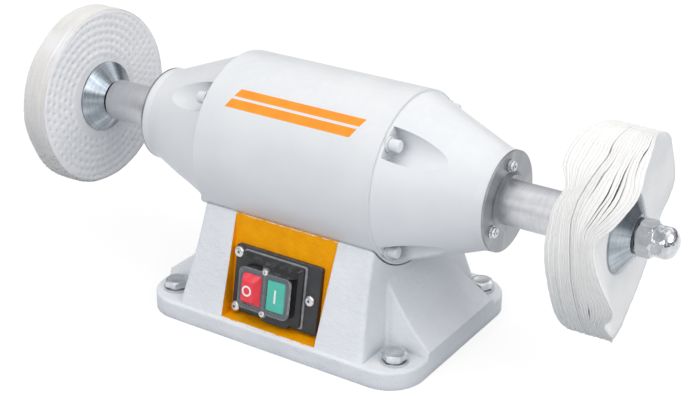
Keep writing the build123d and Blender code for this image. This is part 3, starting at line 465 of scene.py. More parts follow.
def clear_plastic():
    """The clear cover round the buttons, with a painted highlight on its edges and on the lip round each
    half.
    """
    material, tree, shader = finish("clear_plastic", Metallic=0.0, IOR=1.46, Transmission_Weight=0.8)
    marks = mottle(tree, 220.0, 4.0)
    edges = effect(tree, wear_and_painted_light_edges, Radius=0.9 * mm)
    colour = tint(marks, (186, 199, 210), (172, 186, 198))
    u, v = (reckon("SUBTRACT", place, middle) for place, middle in zip(switch_place(tree), cover_middle))
    from_half = (reckon("SUBTRACT", reckon("ABSOLUTE", u), cover_shift), v)
    beyond = [reckon("MAXIMUM", reckon("SUBTRACT", reckon("ABSOLUTE", off), half - cover_corner), 0.0)
              for off, half in zip(from_half, cover_half)]
    lip_highlight = spread(length(*beyond), cover_corner - 1.3 * mm, cover_corner - 0.6 * mm)
    # Painted highlight: edges and lip tinted near white
    lit = reckon("MAXIMUM", edges["Mask"], product(lip_highlight, spread(marks, 0.3, 0.6, 0.3, 1.0)))
    feed(shader, Base_Color=tint(lit, colour, (252, 254, 255)), Roughness=spread(marks, 0.3, 0.7, 0.04, 0.12))
    bump(shader, marks, 0.1, 0.03 * mm, edges["Normal"])
    return material


def cotton(name, light, deep, depth):
    """Undyed cotton cloth. Gives the material, its tree, its shader and its colour."""
    material, tree, shader = finish(
        name, Metallic=0.0, Sheen_Weight=0.25, Sheen_Roughness=0.5, Specular_IOR_Level=0.15)
    weave = effect(tree, cloth_weave, Threads=1100.0)
    colour = tint(weave["Tone"], light, deep)
    feed(shader, Base_Color=colour, Roughness=spread(weave["Tone"], 0.0, 1.0, 0.86, 0.97))
    bump(shader, weave["Height"], 0.5, depth)
    return material, tree, shader, colour


def loose_cotton():
    """Cotton cloth whose cut edges are a little darker than its faces."""
    material, tree, shader, colour = cotton("loose_cotton_cloth", (248, 248, 247), (240, 240, 239), 0.3 * mm)
    on_rim = spread(spindle_place(tree)[1], 71.8 * mm, 73.2 * mm)
    feed(shader, Base_Color=tint(product(on_rim, 0.3), colour, (226, 225, 221)))
    return material


# Spiral stitching of the sewn wheel, off its centre, as its mesh and its cloth both have it
stitch_start = 32.7 * mm
stitch_end = 71.5 * mm
stitch_pitch = 6.5 * mm
stitch_step = 6.9 * mm
stitch_drift = 6.7 * mm
stitch_side = radians(167)

# The sewn wheel's rim: where its inner edge lies, its width and the number of its plies
rim_inner_x = -229.5 * mm
rim_width = 24.0 * mm
rim_plies = 19

# The stretch of that rim which is frayed
frayed_from = radians(198)
frayed_to = radians(252)


def sewn_cotton():
    """Cotton cloth with painted shade in a small hole at every stitch, and darker lines between the plies on
    the rim, of wear and painted shade.
    """
    material, tree, shader, colour = cotton("sewn_cotton_cloth", (243, 243, 245), (234, 235, 237), 0.2 * mm)
    x, out, angle = spindle_place(tree)
    turn = reckon("FLOORED_MODULO", angle, 2 * pi)
    drift = product(reckon("COSINE", reckon("SUBTRACT", turn, stitch_side)), stitch_drift)
    beyond = reckon("SUBTRACT", reckon("SUBTRACT", out, stitch_start), drift)
    rows = reckon("SUBTRACT", reckon("DIVIDE", beyond, stitch_pitch), reckon("DIVIDE", turn, 2 * pi))
    row = reckon("ROUND", rows)
    off = product(reckon("SUBTRACT", rows, row), stitch_pitch)
    swept = reckon("ADD", turn, product(row, 2 * pi))
    mean = reckon("ADD", product(swept, stitch_pitch / (4 * pi)), stitch_start)
    count = reckon("DIVIDE", product(swept, mean), stitch_step)
    along = product(reckon("SUBTRACT", count, reckon("ROUND", count)), stitch_step)
    on_face = product(spread(row, -0.6, -0.4), spread(out, stitch_end, stitch_end + 0.4 * mm, 1.0, 0.0))
    # Painted shade in the stitch holes
    stitch_hole_shade = product(spread(length(along, off), 0.3 * mm, 1.1 * mm, 1.0, 0.0), on_face)
    colour = tint(product(stitch_hole_shade, 0.4), colour, (168, 166, 162))

    on_rim = spread(out, 73.0 * mm, 73.6 * mm)
    colour = tint(product(on_rim, 0.5), colour, (228, 225, 218))
    line = reckon("COSINE", product(reckon("SUBTRACT", x, rim_inner_x), 2 * pi * rim_plies / rim_width))
    around = join(product(angle, 1.6), product(x, 160.0))
    patchy = spread(mottle(tree, 1.4, 3.0, around), 0.42, 0.66)
    # Darker lines between the plies: wear and painted shade in their grooves
    wear_and_painted_light = product(spread(line, 0.2, 0.9), patchy, on_rim)
    colour = tint(product(wear_and_painted_light, 0.5), colour, (186, 181, 172))
    low_front = between(turn, frayed_from, frayed_to, radians(14))
    frayed = product(patches(tree, 480.0, 4.0, 0.5, 0.64), low_front, on_rim)
    feed(shader, Base_Color=tint(product(frayed, 0.5), colour, (150, 147, 141)))
    return material


def dress(material, *names):
    for name in names:
        nodes[name].data.materials.clear()
        nodes[name].data.materials.append(material)


def both(*names):
    return [f"{side}_{name}" for name in names for side in ("right", "left")]


dress(base_coat(), "base_housing")
dress(barrel_coat(), "motor_barrel")
dress(smooth_coat("smooth_grey_coat")[0], "end_bell_screws", "end_bell_washers", *both("end_bell"))
dress(coat("cover_paint", (166, 169, 172), (154, 158, 162), (190, 192, 194),
           peel=800.0, casting=40.0, roughness=0.45, depth=0.1 * mm)[0],
      "bottom_cover", "capacitor_strap")
dress(plain_metal("bright_zinc", (226, 227, 229), (196, 198, 202), roughness=0.28, grain=1400.0),
      "motor_saddle_screws", "bottom_cover_screws", "capacitor_strap_screws", "cable_gland_nut")
screw_zinc = plain_metal("screw_zinc", (228, 230, 233), (198, 201, 205),
                         roughness=0.32, grain=1400.0, edge=0.2 * mm)
dress(screw_zinc, "base_bolts", "base_bolt_washers")
dress(turned_metal("stainless_plate", (168, 170, 174), (150, 153, 158),
                   roughness=0.34, ring_scale=1800.0, depth=0.03 * mm, anisotropy=0.4),
      *both("tube_plate"))
dress(turned_metal("brushed_tube_steel", (216, 217, 220), (197, 199, 203),
                   roughness=0.4, ring_scale=2600.0, depth=0.04 * mm, anisotropy=0.4, painted_reflections=0.2),
      *both("extension_tube"))
# Its strong light and dark tones are a painted reflection in sectors round the spindle
dress(turned_metal("turned_flange_steel", (186, 194, 201), (112, 121, 129),
                   roughness=0.2, ring_scale=3200.0, depth=0.03 * mm, anisotropy=0.7),
      *both("inner_flange", "outer_flange"))
dress(turned_metal("spindle_steel", (186, 188, 192), (160, 163, 168),
                   roughness=0.28, ring_scale=2600.0, depth=0.04 * mm, anisotropy=0.5),
      "spindle_shaft")
dress(plain_metal("bright_plate", (224, 226, 229), (186, 189, 193),
                  roughness=0.1, grain=150.0, depth=3 * mm, edge=0.5 * mm),
      *both("dome_nut"))
# The washers under the dome nuts are dark steel, and their darkness also stands in as painted shade for the
# gap between flange and nut
dress(plain_metal("dark_washer_steel_with_gap_shade", (104, 106, 110), (84, 86, 90), roughness=0.3, grain=900.0),
      *both("nut_washer"))
dress(plain_metal("ground_bearing_steel", (218, 220, 223), (196, 199, 203), roughness=0.16, grain=1500.0),
      "bearing_preload_washer", *both("bearing_outer_ring", "bearing_inner_ring", "bearing_balls"))
dress(laid_metal("laminated_steel", (150, 151, 156), (112, 112, 118), direction=0, pitch=0.5 * mm,
                 stains=(160.0, 4.0), dull=(0.36, 0.52), strength=0.3, depth=0.06 * mm),
      "stator_core", "rotor_core")
dress(laid_metal("wound_copper", (206, 124, 72), (164, 88, 46), direction=1, pitch=0.9 * mm,
                 stains=(130.0, 3.0), dull=(0.26, 0.4), strength=0.5, depth=0.2 * mm, Coat_Weight=0.4),
      "stator_windings")
dress(plain_metal("cast_aluminium", (214, 216, 219), (190, 193, 197),
                  roughness=0.4, grain=500.0, depth=0.2 * mm),
      "rotor_end_rings", "capacitor")
dress(moulded("matt_black_plastic", (56, 58, 61), (46, 48, 51),
              roughness=0.42, depth=0.12 * mm, scale=1100.0)[0],
      "switch_plate", "cable_gland")
dress(moulded("glossy_black_plastic", (36, 37, 40), (28, 29, 32),
              roughness=0.22, depth=0.06 * mm, scale=1100.0, edge=0.3 * mm)[0],
      "switch_body")
dress(moulded("grey_rubber", (168, 170, 173), (132, 134, 138),
              roughness=0.6, depth=0.2 * mm, scale=700.0)[0],
      "switch_gasket")
dress(clear_plastic(), "switch_frame")
dress(ring_mark_red(), "stop_button")
dress(bar_mark_green(), "start_button")


# Pieces made here

x_axis, z_axis = Vector((1, 0, 0)), Vector((0, 0, 1))
rim_slack = 0.1 * mm


def make_object(name, shape):
    """Turns a bmesh, which is used up, into an object of the scene."""
    mesh = bpy.data.meshes.new(name)
    shape.to_mesh(mesh)
    shape.free()
    made = bpy.data.objects.new(name, mesh)
    scene.collection.objects.link(made)
    return made


def make_piece(name, shape, material, body):
    """Turns a bmesh into a named, smooth piece that rides on a body."""
    piece = make_object(name, shape)
    for face in piece.data.polygons:
        face.use_smooth = True
    piece.data.materials.append(material)
    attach(piece, body)
    return piece


def polyline(shape, points):
    corners = [shape.verts.new(point) for point in points]
    return corners, [shape.edges.new(pair) for pair in zip(corners, corners[1:])]


def spin_round(shape, centre, axis, steps, cuts=0):
    """Spins an outline a full turn, then divides each step of the turn."""
    bmesh.ops.spin(shape, geom=shape.verts[:] + shape.edges[:], cent=centre, axis=axis, angle=2 * pi,
                   steps=steps, use_merge=True)
    bmesh.ops.remove_doubles(shape, verts=shape.verts[:], dist=1e-6)
    if cuts:
        def keeps(edge, measure):
            first, second = (measure(vert.co - centre) for vert in edge.verts)
            return abs(first - second) < 1e-7
        around = [edge for edge in shape.edges
                  if keeps(edge, axis.dot) and keeps(edge, lambda offset: offset.length)]
        bmesh.ops.subdivide_edges(shape, edges=around, cuts=cuts, use_grid_fill=True)
    bmesh.ops.recalc_face_normals(shape, faces=shape.faces[:])


def carve(blank_shape, tool_shape, operation):
    """The mesh that one bmesh leaves of another. Both are used up."""
    blank, tool = make_object("blank", blank_shape), make_object("tool", tool_shape)
    cut = blank.modifiers.new("cut", "BOOLEAN")
    cut.operation = operation
    cut.solver = "EXACT"
    cut.use_self = True
    cut.object = tool
    bpy.context.view_layer.update()
    made = bpy.data.meshes.new_from_object(blank.evaluated_get(bpy.context.evaluated_depsgraph_get()))
    for item in (blank, tool):
        bpy.data.objects.remove(item)
    clean = bmesh.new()
    clean.from_mesh(made)
    bmesh.ops.remove_doubles(clean, verts=clean.verts[:], dist=3e-6)
    bmesh.ops.triangulate(clean, faces=clean.faces[:])
    bmesh.ops.dissolve_degenerate(clean, edges=clean.edges[:], dist=3e-6)
    clean.to_mesh(made)
    clean.free()
    return made


# Screws and bolts

# A pan head's outline, as shares of its radius and its rise
pan_head = ((0, 1.0), (0.4, 0.99), (0.66, 0.95), (0.83, 0.87),
            (0.93, 0.72), (0.985, 0.5), (1.0, 0.2), (0.985, 0.0))

# One bar of the cross recess, as shares of the head's radius: its size, taper below and middle over the head
cross_bar = Vector((1.1, 0.3, 1.4))
cross_taper = Vector((0.35, 0.7, 1))
cross_lift = 0.18


def screw_shape(head_radius, rise, shank_radius, shank_length, washers=()):
    """One pan-head screw along +Z with a cross recess, its lowest washer or its head at the origin."""
    level = sum(thickness for _, thickness in washers)
    top = rise + level
    outline = [(r * head_radius, level + h * rise) for r, h in pan_head]
    for radius, thickness in washers:
        edge = thickness * 0.2
        outline += [(radius - edge, level), (radius, level - edge),
                    (radius, level - thickness + edge), (radius - edge, level - thickness)]
        level -= thickness
    outline += [(shank_radius, 0), (shank_radius, -shank_length), (0, -shank_length)]
    shape = bmesh.new()
    polyline(shape, [Vector((r, 0, z)) for r, z in outline])
    spin_round(shape, Vector(), z_axis, 40)
    cutter = bmesh.new()
    for turn in (0, pi / 2):
        bar = bmesh.ops.create_cube(cutter, size=1.0)["verts"]
        bmesh.ops.scale(cutter, vec=cross_bar * head_radius, verts=bar)
        bmesh.ops.scale(cutter, vec=cross_taper, verts=[v for v in bar if v.co.z < 0])
        bmesh.ops.rotate(cutter, verts=bar, cent=Vector(), matrix=Matrix.Rotation(turn, 3, "Z"))
    bmesh.ops.translate(cutter, vec=z_axis * (top + cross_lift * head_radius), verts=cutter.verts[:])
    return carve(shape, cutter, "DIFFERENCE")


def hex_bolt_shape(flats, head, shank_radius, shank_length):
    """One hexagon bolt along +Z with a dished, chamfered head on a round washer face at the origin."""
    half = flats / 2
    face, dish = 0.9 * mm, 0.35 * mm
    shape = bmesh.new()
    polyline(shape, [Vector((r, 0, z)) for r, z in (
        (0, head - dish), (0.58 * half, head - dish), (0.7 * half, head), (0.9 * half, head),
        (1.2 * half, head - 0.19 * half), (1.2 * half, face + 0.06 * half), (1.08 * half, face),
        (0.86 * half, face), (0.84 * half, 0), (shank_radius, 0), (shank_radius, -shank_length),
        (0, -shank_length))])
    spin_round(shape, Vector(), z_axis, 60)
    # Turned a little, so that no edge of the blank lies on a corner of the hexagon
    bmesh.ops.rotate(shape, verts=shape.verts[:], cent=Vector(), matrix=Matrix.Rotation(radians(2), 3, "Z"))
    prism = bmesh.new()
    corner = half / cos(pi / 6)
    bmesh.ops.create_cone(prism, cap_ends=True, segments=6, radius1=corner, radius2=corner,
                          depth=3 * (head + shank_length))
    return carve(shape, prism, "INTERSECT")


def fit_screws(name, node, one, places):
    """Copies of one screw or bolt, one at each place, in place of a node."""
    shape = bmesh.new()
    for place in places:
        before = len(shape.verts)
        shape.from_mesh(one)
        shape.verts.ensure_lookup_table()
        bmesh.ops.transform(shape, matrix=place, verts=shape.verts[before:])
    piece = make_piece(name, shape, screw_zinc, "frame")
    piece.data.set_sharp_from_angle(angle=radians(35))
    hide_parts(node)


def turned(degrees):
    return Matrix.Rotation(radians(degrees), 4, "Z")


def plate_screw_place(side, angle, turn):
    centre = Vector((side * tube_plate_x, plate_screw_circle * cos(radians(angle)),
                     axis_height + plate_screw_circle * sin(radians(angle))))
    return Matrix.Translation(centre) @ Matrix.Rotation(side * pi / 2, 4, "Y") @ turned(turn)


def switch_screw_place(u, v, height, turn):
    centre = switch_origin + switch_u * u + switch_v * v + switch_out * height
    frame_axes = Matrix((switch_u, switch_v, switch_out)).transposed().to_4x4()
    return Matrix.Translation(centre) @ frame_axes @ turned(turn)


def base_bolt_spot(across, back, turn):
    x, y, z = base_bolt_place
    return Matrix.Translation(Vector((across * x, back * y, z))) @ turned(turn)


fit_screws("tube_plate_cross_screws", "tube_plate_screws",
           screw_shape(head_radius=4.1 * mm, rise=2.4 * mm, shank_radius=2.45 * mm, shank_length=9.8 * mm,
                       washers=((3.9 * mm, 1.0 * mm), (4.7 * mm, 1.0 * mm))),
           [plate_screw_place(side, angle, turn) for side, angle, turn in
            ((1, 90, 20), (1, 210, 65), (1, 330, 40), (-1, 90, 5), (-1, 210, 50), (-1, 330, 80))])
fit_screws("switch_plate_cross_screws", "switch_plate_screws",
           screw_shape(head_radius=4.5 * mm, rise=2.7 * mm, shank_radius=1.9 * mm, shank_length=9.0 * mm),
           [switch_screw_place(u * mm, v * mm, 4.0 * mm, turn) for u, v, turn in
            ((-37.5, 50.5, 25), (-37.5, 5.5, 60), (30.7, 29.0, 10))])
fit_screws("switch_frame_cross_screws", "switch_frame_screws",
           screw_shape(head_radius=2.6 * mm, rise=1.5 * mm, shank_radius=1.2 * mm, shank_length=6.0 * mm),
           [switch_screw_place(cover_middle[0], v * mm, 13.9 * mm, turn) for v, turn in
            ((44.05, 30), (10.35, 70))])
fit_screws("base_hex_bolts", "base_bolts",
           hex_bolt_shape(flats=17.0 * mm, head=6.4 * mm, shank_radius=4.4 * mm, shank_length=16.0 * mm),
           [base_bolt_spot(across, back, turn) for across, back, turn in
            ((-1, -1, 32), (1, -1, -5), (1, 1, 28), (-1, 1, 47))])


# Curves round the wheels, as degrees and millimetres

@cache
def rim_at(line, degrees):
    """Smooth closed curve through a line's points."""
    count = len(line)
    index = max((i for i in range(count) if line[i][0] <= degrees % 360), default=count - 1)
    first = line[index][0]
    (s0, x0), (s1, x1), (s2, x2), (s3, x3) = (
        ((line[(index + step) % count][0] - first + 180) % 360 - 180, line[(index + step) % count][1])
        for step in (-1, 0, 1, 2))
    width = s2 - s1
    t = (degrees - first) % 360 / width
    slope = (x2 - x0) / (s2 - s0) * width
    next_slope = (x3 - x1) / (s3 - s1) * width
    bend = 2 * x1 - 2 * x2 + slope + next_slope
    return (x1 + t * (slope + t * (3 * x2 - 3 * x1 - 2 * slope - next_slope + t * bend))) * mm


def hump(degrees, centre, width):
    """1 at an angle, falling to 0 on both sides of it."""
    off = (degrees - centre + 180) % 360 - 180
    return exp(-((off / width) ** 2))


def tenths(angle):
    """The angle in degrees, to a tenth, so that points at one angle share what was reckoned there."""
    return round(angle * 180 / pi, 1) % 360


# Rings of cloth round the spindle

def cloth_ring(corners, cuts, steps):
    """A closed outline, given along the spindle and out from it, divided and spun."""
    shape = bmesh.new()
    points, edges = polyline(shape, [Vector((x, 0, axis_height + r)) for x, r in corners])
    edges.append(shape.edges.new((points[-1], points[0])))
    for edge, count in zip(edges, cuts):
        if count:
            bmesh.ops.subdivide_edges(shape, edges=[edge], cuts=count)
    spin_round(shape, z_axis * axis_height, x_axis, steps, 3)
    return shape


def off_axis(place):
    """Distance from the spindle's axis and angle round it."""
    y, z = place.y, place.z - axis_height
    return hypot(y, z), atan2(z, y)


def lay_flat(shape, rim_radius, turn=0.0, rim_stretch=1.0, rim_shift=0.0):
    """Notes the flat cut of the cloth: its faces as they lie, turned, and its rim unrolled."""
    flat = shape.loops.layers.uv.new("flat_cut")
    for face in shape.faces:
        on_rim = all(off_axis(vert.co)[0] > rim_radius - rim_slack for vert in face.verts)
        for loop in face.loops:
            x, y, z = loop.vert.co.x, loop.vert.co.y, loop.vert.co.z - axis_height
            if on_rim:
                loop[flat].uv = (atan2(z, y) * wheel_radius, x * rim_stretch + rim_shift)
            else:
                loop[flat].uv = (y * cos(turn) - z * sin(turn), y * sin(turn) + z * cos(turn))


def set_place(vert, x, radius, angle):
    vert.co = Vector((x, radius * cos(angle), axis_height + radius * sin(angle)))


# Stitched cotton wheel

# How far its worn rim lies outside a true circle
worn_rim = ((0, 0.0), (60, 0.2), (102, 0.2), (114, -0.9), (123, -1.5), (131, -1.5), (139, -0.7), (150, -0.3),
            (168, 0.0), (182, 0.2), (193, -0.5), (204, -0.9), (214, -0.3), (224, 0.7), (236, 1.3), (248, 1.2),
            (264, 0.4), (300, 0.0))

# Where the cloth comes free of the clamps, and how far it swells there on its inner and its outer face
clamp_margin, clamp_run = 0.5 * mm, 9 * mm
inner_swell, outer_swell = 1.0 * mm, 5.0 * mm

# Relief of its faces and its rim
stitch_depth, stitch_length, row_width = 1.3 * mm, 1.5 * mm, 1.7 * mm
puff_height = 0.3 * mm
edge_fall_run = 7 * mm
ply_step, ply_groove = 0.45 * mm, 0.55 * mm
split_at, split_width, split_depth = 0.24, 0.02, 0.9 * mm
corner_from, corner_share, corner_drop = 0.42, 0.08, 1.6 * mm


def sewn_depth(radius, angle):
    """How far the stitching draws the cloth in, from 0 to 1, at a point of a face."""
    turn = angle % (2 * pi)
    rows = (radius - stitch_start - stitch_drift * cos(turn - stitch_side)) / stitch_pitch - turn / (2 * pi)
    row = round(rows)
    if row < 0 or radius > stitch_end:
        return 0.0
    off = (rows - row) * stitch_pitch
    swept = turn + 2 * pi * row
    count = swept * (stitch_start + swept * stitch_pitch / (4 * pi)) / stitch_step
    along = (count - round(count)) * stitch_step
    tight = 0.85 + 0.5 * noise.noise(Vector((round(count) * 3.7, row * 1.3, 0)))
    groove = exp(-(off / row_width) ** 2)
    return groove * (0.3 + 0.7 * tight * exp(-(along / stitch_length) ** 2))


def rim_relief(across, angle):
    """How far a point of the sewn wheel's rim lies out, by its plies, fraying, split line and corners."""
    ply = across * rim_plies
    groove = abs(ply - floor(ply) - 0.5) * 2
    step = noise.noise(Vector((floor(ply) * 7.3, angle * 2.2, 1.0))) * ply_step
    rough = 0.25 + 0.45 * hump(angle * 180 / pi, 225, 30)
    fray = noise.noise(Vector((ply * 5.1, angle * 60, 4.0))) * rough * mm
    split_line = exp(-((across - split_at) / split_width) ** 2) * split_depth
    corner = max(abs(across - 0.5) - corner_from, 0.0) / corner_share
    return step + fray - groove ** 4 * ply_groove - split_line - corner ** 2 * corner_drop


def stitched_wheel():
    inner, outer = -wheel_x, -hub_end_x
    corners = [(inner, wheel_bore), (inner, wheel_radius), (outer, wheel_radius), (outer, wheel_bore)]
    shape = cloth_ring(corners, cuts=(68, 2 * rim_plies - 1, 46, 1), steps=135)
    lay_flat(shape, wheel_radius)
    for vert in shape.verts:
        radius, angle = off_axis(vert.co)
        across = (vert.co.x - inner) / (outer - inner)
        free = min(max((radius - flange_radius - clamp_margin) / clamp_run, 0.0), 1.0)
        free = free * free * (3 - 2 * free)
        x = vert.co.x + free * (inner_swell * (1 - across) - outer_swell * across)
        if across < 0.001 or across > 0.999:
            side = 1 if across < 0.5 else -1
            around = Vector((cos(angle), sin(angle), 0))
            puff = noise.noise(around * 9 + Vector((radius * 160, side * 3.7, 0))) * puff_height
            deep = sewn_depth(radius, angle) * stitch_depth
            edge_fall = max(radius - stitch_end, 0.0)
            x += side * ((puff - deep) * free - edge_fall * edge_fall / edge_fall_run)
        reach = rim_at(worn_rim, tenths(angle)) * free * (radius / wheel_radius) ** 2
        if radius > wheel_radius - rim_slack:
            radius += rim_relief(across, angle)
        set_place(vert, x, radius + reach, angle)
    piece = make_piece("stitched_wheel_cloth", shape, sewn_cotton(), "spindle")
    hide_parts("stitched_cotton_wheel")


stitched_wheel()


# Loose cotton mop: where its plies' rims lie along the spindle

inner_rim = ((0, 231), (30, 229), (60, 223), (89, 217.8), (103, 215.9), (116, 216.2), (126, 218), (133, 223),
             (137, 225.6), (142, 224.6), (150, 222), (161, 222.2), (170, 222.4), (181, 224.4), (197, 227.4),
             (225, 229), (250, 231), (300, 231))
fold_line = ((0, 239), (30, 239.5), (60, 240), (93, 240.6), (105, 241.6), (114, 243.6), (122, 242.3),
             (136, 239.2), (145, 237.2), (156, 237.5), (170, 240.9), (185, 243.8), (206, 247), (235, 246),
             (265, 241), (300, 238.6), (330, 238.5))
second_fold = ((0, 241.5), (30, 243), (60, 244.5), (93, 246), (105, 248), (115, 249), (121, 248.6),
               (126, 247.4), (133, 246), (144, 243.2), (153, 241.8), (162, 243), (175, 246), (190, 249),
               (206, 252), (235, 249.5), (265, 244), (300, 241), (330, 240.6))
last_rim = ((10, 252), (34, 252.6), (60, 256), (78, 257.6), (87, 260.6), (100, 264.6), (111, 265.4),
            (124, 268.2), (131, 270.6), (138, 270.6), (148, 264.9), (158, 255.8), (164, 254), (168, 254.2),
            (174, 256.6), (181, 260.6), (190, 266.2), (196, 269.8), (202, 268.4), (212, 263), (223, 265.6),
            (235, 260.6), (248, 255.6), (267, 250.6), (289, 246), (320, 243.8), (347, 245), (357, 248.4))
outer_rim = ((10, 254.4), (34, 255), (60, 259.4), (78, 260.6), (90, 264.4), (103, 269), (122, 274.2),
             (130, 276), (138, 275), (152, 267), (161, 257.8), (167, 257.6), (177, 261.9), (188, 268.8),
             (197, 273.4), (203, 271.8), (212, 265.4), (225, 267.8), (235, 263), (248, 258), (267, 253),
             (289, 248), (320, 245.5), (347, 247), (357, 250.6))

# How far the rim reaches past the wheel's radius
rim_reach = ((0, 0.0), (60, -0.8), (90, -2.0), (105, -1.6), (125, -0.4), (160, 0.4), (185, 0.9), (230, 0.6),
             (300, 0.0))

# Packs of plies from the inside out, and the gaps that open between them: border, angle, width, half gap
inner_pack, fold_pack, outer_pack, last_pack = 10, 3, 8, 2
mop_plies = inner_pack + fold_pack + outer_pack + last_pack
least_gap = 0.03 * mm
ply_gaps = ((10, 150, 60, 0.5), (10, 100, 40, 0.35), (13, 129, 10, 0.75), (12, 150, 18, 0.2),
            (16, 139, 12, 0.5), (18, 131, 12, 0.75), (19, 135, 12, 0.5), (17, 150, 9, 0.3),
            (21, 108, 17, 0.45), (15, 203, 4, 0.5), (4, 196, 25, 0.2), (5, 118, 14, 0.15), (7, 125, 12, 0.1))

# Frayed rim of a ply: how far its lines lie in, how far its threads stray, and where it is torn
outer_groove, inner_groove, stray = 0.4, 0.22, 0.22
torn_at, torn_width, torn_length = 232, 22, 6


@cache
def ply_border(border, degrees):
    """Where the border under one ply lies at the rim, and half the gap that opens there."""
    start, fold, second, last, end = (
        rim_at(line, degrees) for line in (inner_rim, fold_line, second_fold, last_rim, outer_rim))
    gap = least_gap + sum(hump(degrees, centre, width) * half * mm
                          for at, centre, width, half in ply_gaps if at == border)
    if border <= inner_pack:
        return start + (fold - start) * border / inner_pack, gap
    border -= inner_pack
    if border <= fold_pack:
        return fold + (second - fold) * border / fold_pack, gap
    border -= fold_pack
    if border <= outer_pack:
        swing = 0.02 * sin(radians(degrees) * 6 + border * 1.9) * hump(degrees, 140, 40)
        share = border / outer_pack + swing * (0 < border < outer_pack)
        return second + (last - second) * share, gap
    border -= outer_pack
    return last + (end - last) * border / last_pack, gap


def past_clamp(radius):
    """0 at the clamps' edge, 1 at the rim."""
    return max((radius - flange_radius) / (wheel_radius - flange_radius), 0.0)


def ply_side(border, side, radius, angle):
    """Distance along the spindle of one side of a ply, flat at the hub and free at the rim."""
    hub_x = wheel_x + border * (hub_end_x - wheel_x) / mop_plies
    rim_x, gap = ply_border(border, tenths(angle))
    lean = past_clamp(radius) ** 1.3
    ripple = noise.noise(Vector((cos(angle) * 11, sin(angle) * 11, border * 0.35 + radius * 40))) * 0.35 * mm
    return hub_x + (rim_x + ripple - hub_x) * lean - side * (least_gap + (gap - least_gap) * lean)


def frayed_edge(ply, across, thickness, angle):
    """How far a point of a ply's rim lies out, by its lines, loose threads and tears."""
    line = round((across + 1) * 3)
    groove = outer_groove if line in (0, 6) else inner_groove if line % 2 else 0.0
    groove *= min(thickness / (1.5 * mm), 1.0)
    fray = noise.noise(Vector((angle * 50, ply * 9.0 + line * 2.3, 0))) * stray
    torn = max(noise.noise(Vector((angle * 15, ply * 4.0, 5.0))) - 0.4, 0.0) * torn_length
    return (fray - groove + torn * hump(angle * 180 / pi, torn_at, torn_width)) * mm


def mop_ply(ply, material):
    """One round of cloth with its frayed rim, clamped flat between the flanges."""
    cut_radius = wheel_radius + noise.noise(Vector((ply * 3.3, 0, 0))) * 0.8 * mm
    low_side = [(-mm, wheel_bore), (-mm, flange_radius), (-mm, cut_radius)]
    high_side = [(mm, cut_radius), (mm, flange_radius), (mm, wheel_bore)]
    shape = cloth_ring(low_side + high_side, cuts=(1, 9, 5, 9, 1, 0), steps=80)
    lay_flat(shape, cut_radius, turn=ply * 0.7, rim_stretch=1.5, rim_shift=ply * 0.01)
    for vert in shape.verts:
        radius, angle = off_axis(vert.co)
        across = vert.co.x / mm
        low = ply_side(ply, -1, radius, angle)
        high = ply_side(ply + 1, 1, radius, angle)
        if radius > cut_radius - rim_slack:
            radius += frayed_edge(ply, across, high - low, angle)
        radius += past_clamp(radius) * rim_at(rim_reach, tenths(angle))
        set_place(vert, low + (high - low) * (across + 1) / 2, radius, angle)
    piece = make_piece(f"mop_ply_{ply + 1:02d}", shape, material, "spindle")
    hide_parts("loose_cotton_mop")


mop_cloth = loose_cotton()
for number in range(mop_plies):
    mop_ply(number, mop_cloth)


# Studio

floor_size = 8.0
floor_bounce = (0.46, 0.485, 0.52, 1.0)
floor_shadow = (0.3, 0.3, 0.3, 1.0)
floor_glow = 0.74
horizon_grey = (0.11, 0.12, 0.14, 1.0)
zenith_grey = (0.94, 0.93, 0.925, 1.0)
lamp_target = Vector((0.0, 0.0, 0.1))

# Lamps: place, size, power
soft_boxes = {
    "top_box": ((0.1, -0.1, 1.7), (1.8, 1.4), 4.0),
    "front_box": ((0.05, -2.0, 1.1), (1.4, 1.2), 11.8),
    "right_box": ((1.85, -0.4, 1.2), (1.7, 1.1), 16.0),
    "left_box": ((-2.0, -0.8, 1.2), (1.0, 1.0), 3.8),
    "back_box": ((0.2, 1.8, 1.3), (1.4, 1.0), 3.8),
}

# Camera
camera_lens = 74.31
camera_place = Vector((581.6, -855.1, 579.5)) * mm
camera_target = Vector((20.5, 0, 95)) * mm


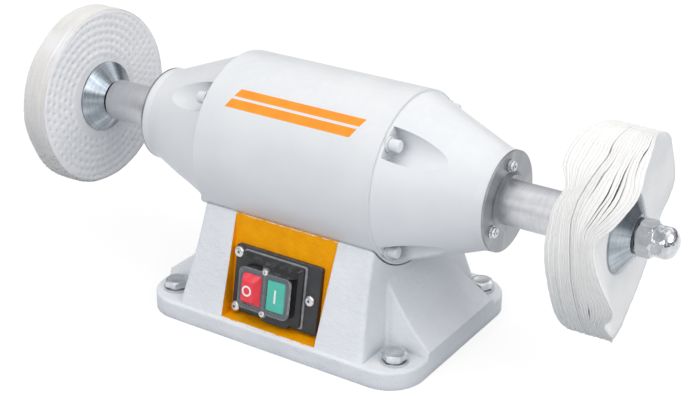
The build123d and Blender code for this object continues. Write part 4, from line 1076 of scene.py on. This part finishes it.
def studio_floor():
    shape = bmesh.new()
    bmesh.ops.create_grid(shape, x_segments=2, y_segments=2, size=floor_size)
    floor_object = make_object("studio_floor", shape)
    material = bpy.data.materials.new("pale_floor")
    material.use_nodes = True
    tree = material.node_tree
    tree.nodes.clear()
    path = put(tree, "LightPath").outputs
    seen = reckon("MAXIMUM", path["Is Camera Ray"],
                  reckon("MAXIMUM", path["Is Glossy Ray"], path["Is Transmission Ray"]))
    lit = put(tree, "BsdfDiffuse", {"Color": floor_bounce})
    shadow = put(tree, "BsdfDiffuse", {"Color": floor_shadow})
    white = put(tree, "Emission", {"Color": (1.0, 1.0, 1.0, 1.0), "Strength": floor_glow})
    shown = put(tree, "AddShader", {0: shadow.outputs[0], 1: white.outputs[0]})
    mixed = put(tree, "MixShader", {0: seen, 1: lit.outputs[0], 2: shown.outputs[0]})
    put(tree, "OutputMaterial", {"Surface": mixed.outputs[0]})
    floor_object.data.materials.append(material)


def studio_world():
    world = bpy.data.worlds.new("studio_world")
    scene.world = world
    world.use_nodes = True
    tree = world.node_tree
    tree.nodes.clear()
    height = split(put(tree, "TexCoord").outputs["Generated"])[2]
    grey = derive("Mix", {0: spread(height, 0.0, 0.9), 6: horizon_grey, 7: zenith_grey},
                  data_type="RGBA")[2]
    back = put(tree, "Background", {"Color": grey, "Strength": 1.0})
    put(tree, "OutputWorld", {"Surface": back.outputs[0]})


def stand(name, data, place, target):
    """Puts a lamp or a camera at a place and turns it to its target."""
    holder = bpy.data.objects.new(name, data)
    holder.location = place
    holder.rotation_euler = (target - Vector(place)).to_track_quat("-Z", "Y").to_euler()
    scene.collection.objects.link(holder)
    return holder


studio_floor()
studio_world()
for lamp_name, (lamp_place, lamp_size, lamp_power) in soft_boxes.items():
    lamp = bpy.data.lights.new(lamp_name, "AREA")
    lamp.shape = "RECTANGLE"
    lamp.size, lamp.size_y = lamp_size
    lamp.energy = lamp_power
    stand(lamp_name, lamp, lamp_place, lamp_target)

camera = bpy.data.cameras.new("camera")
camera.lens = camera_lens
camera.sensor_width = 36.0
camera.sensor_fit = "HORIZONTAL"
scene.camera = stand("camera", camera, camera_place, camera_target)
scene.view_settings.view_transform = "Standard"
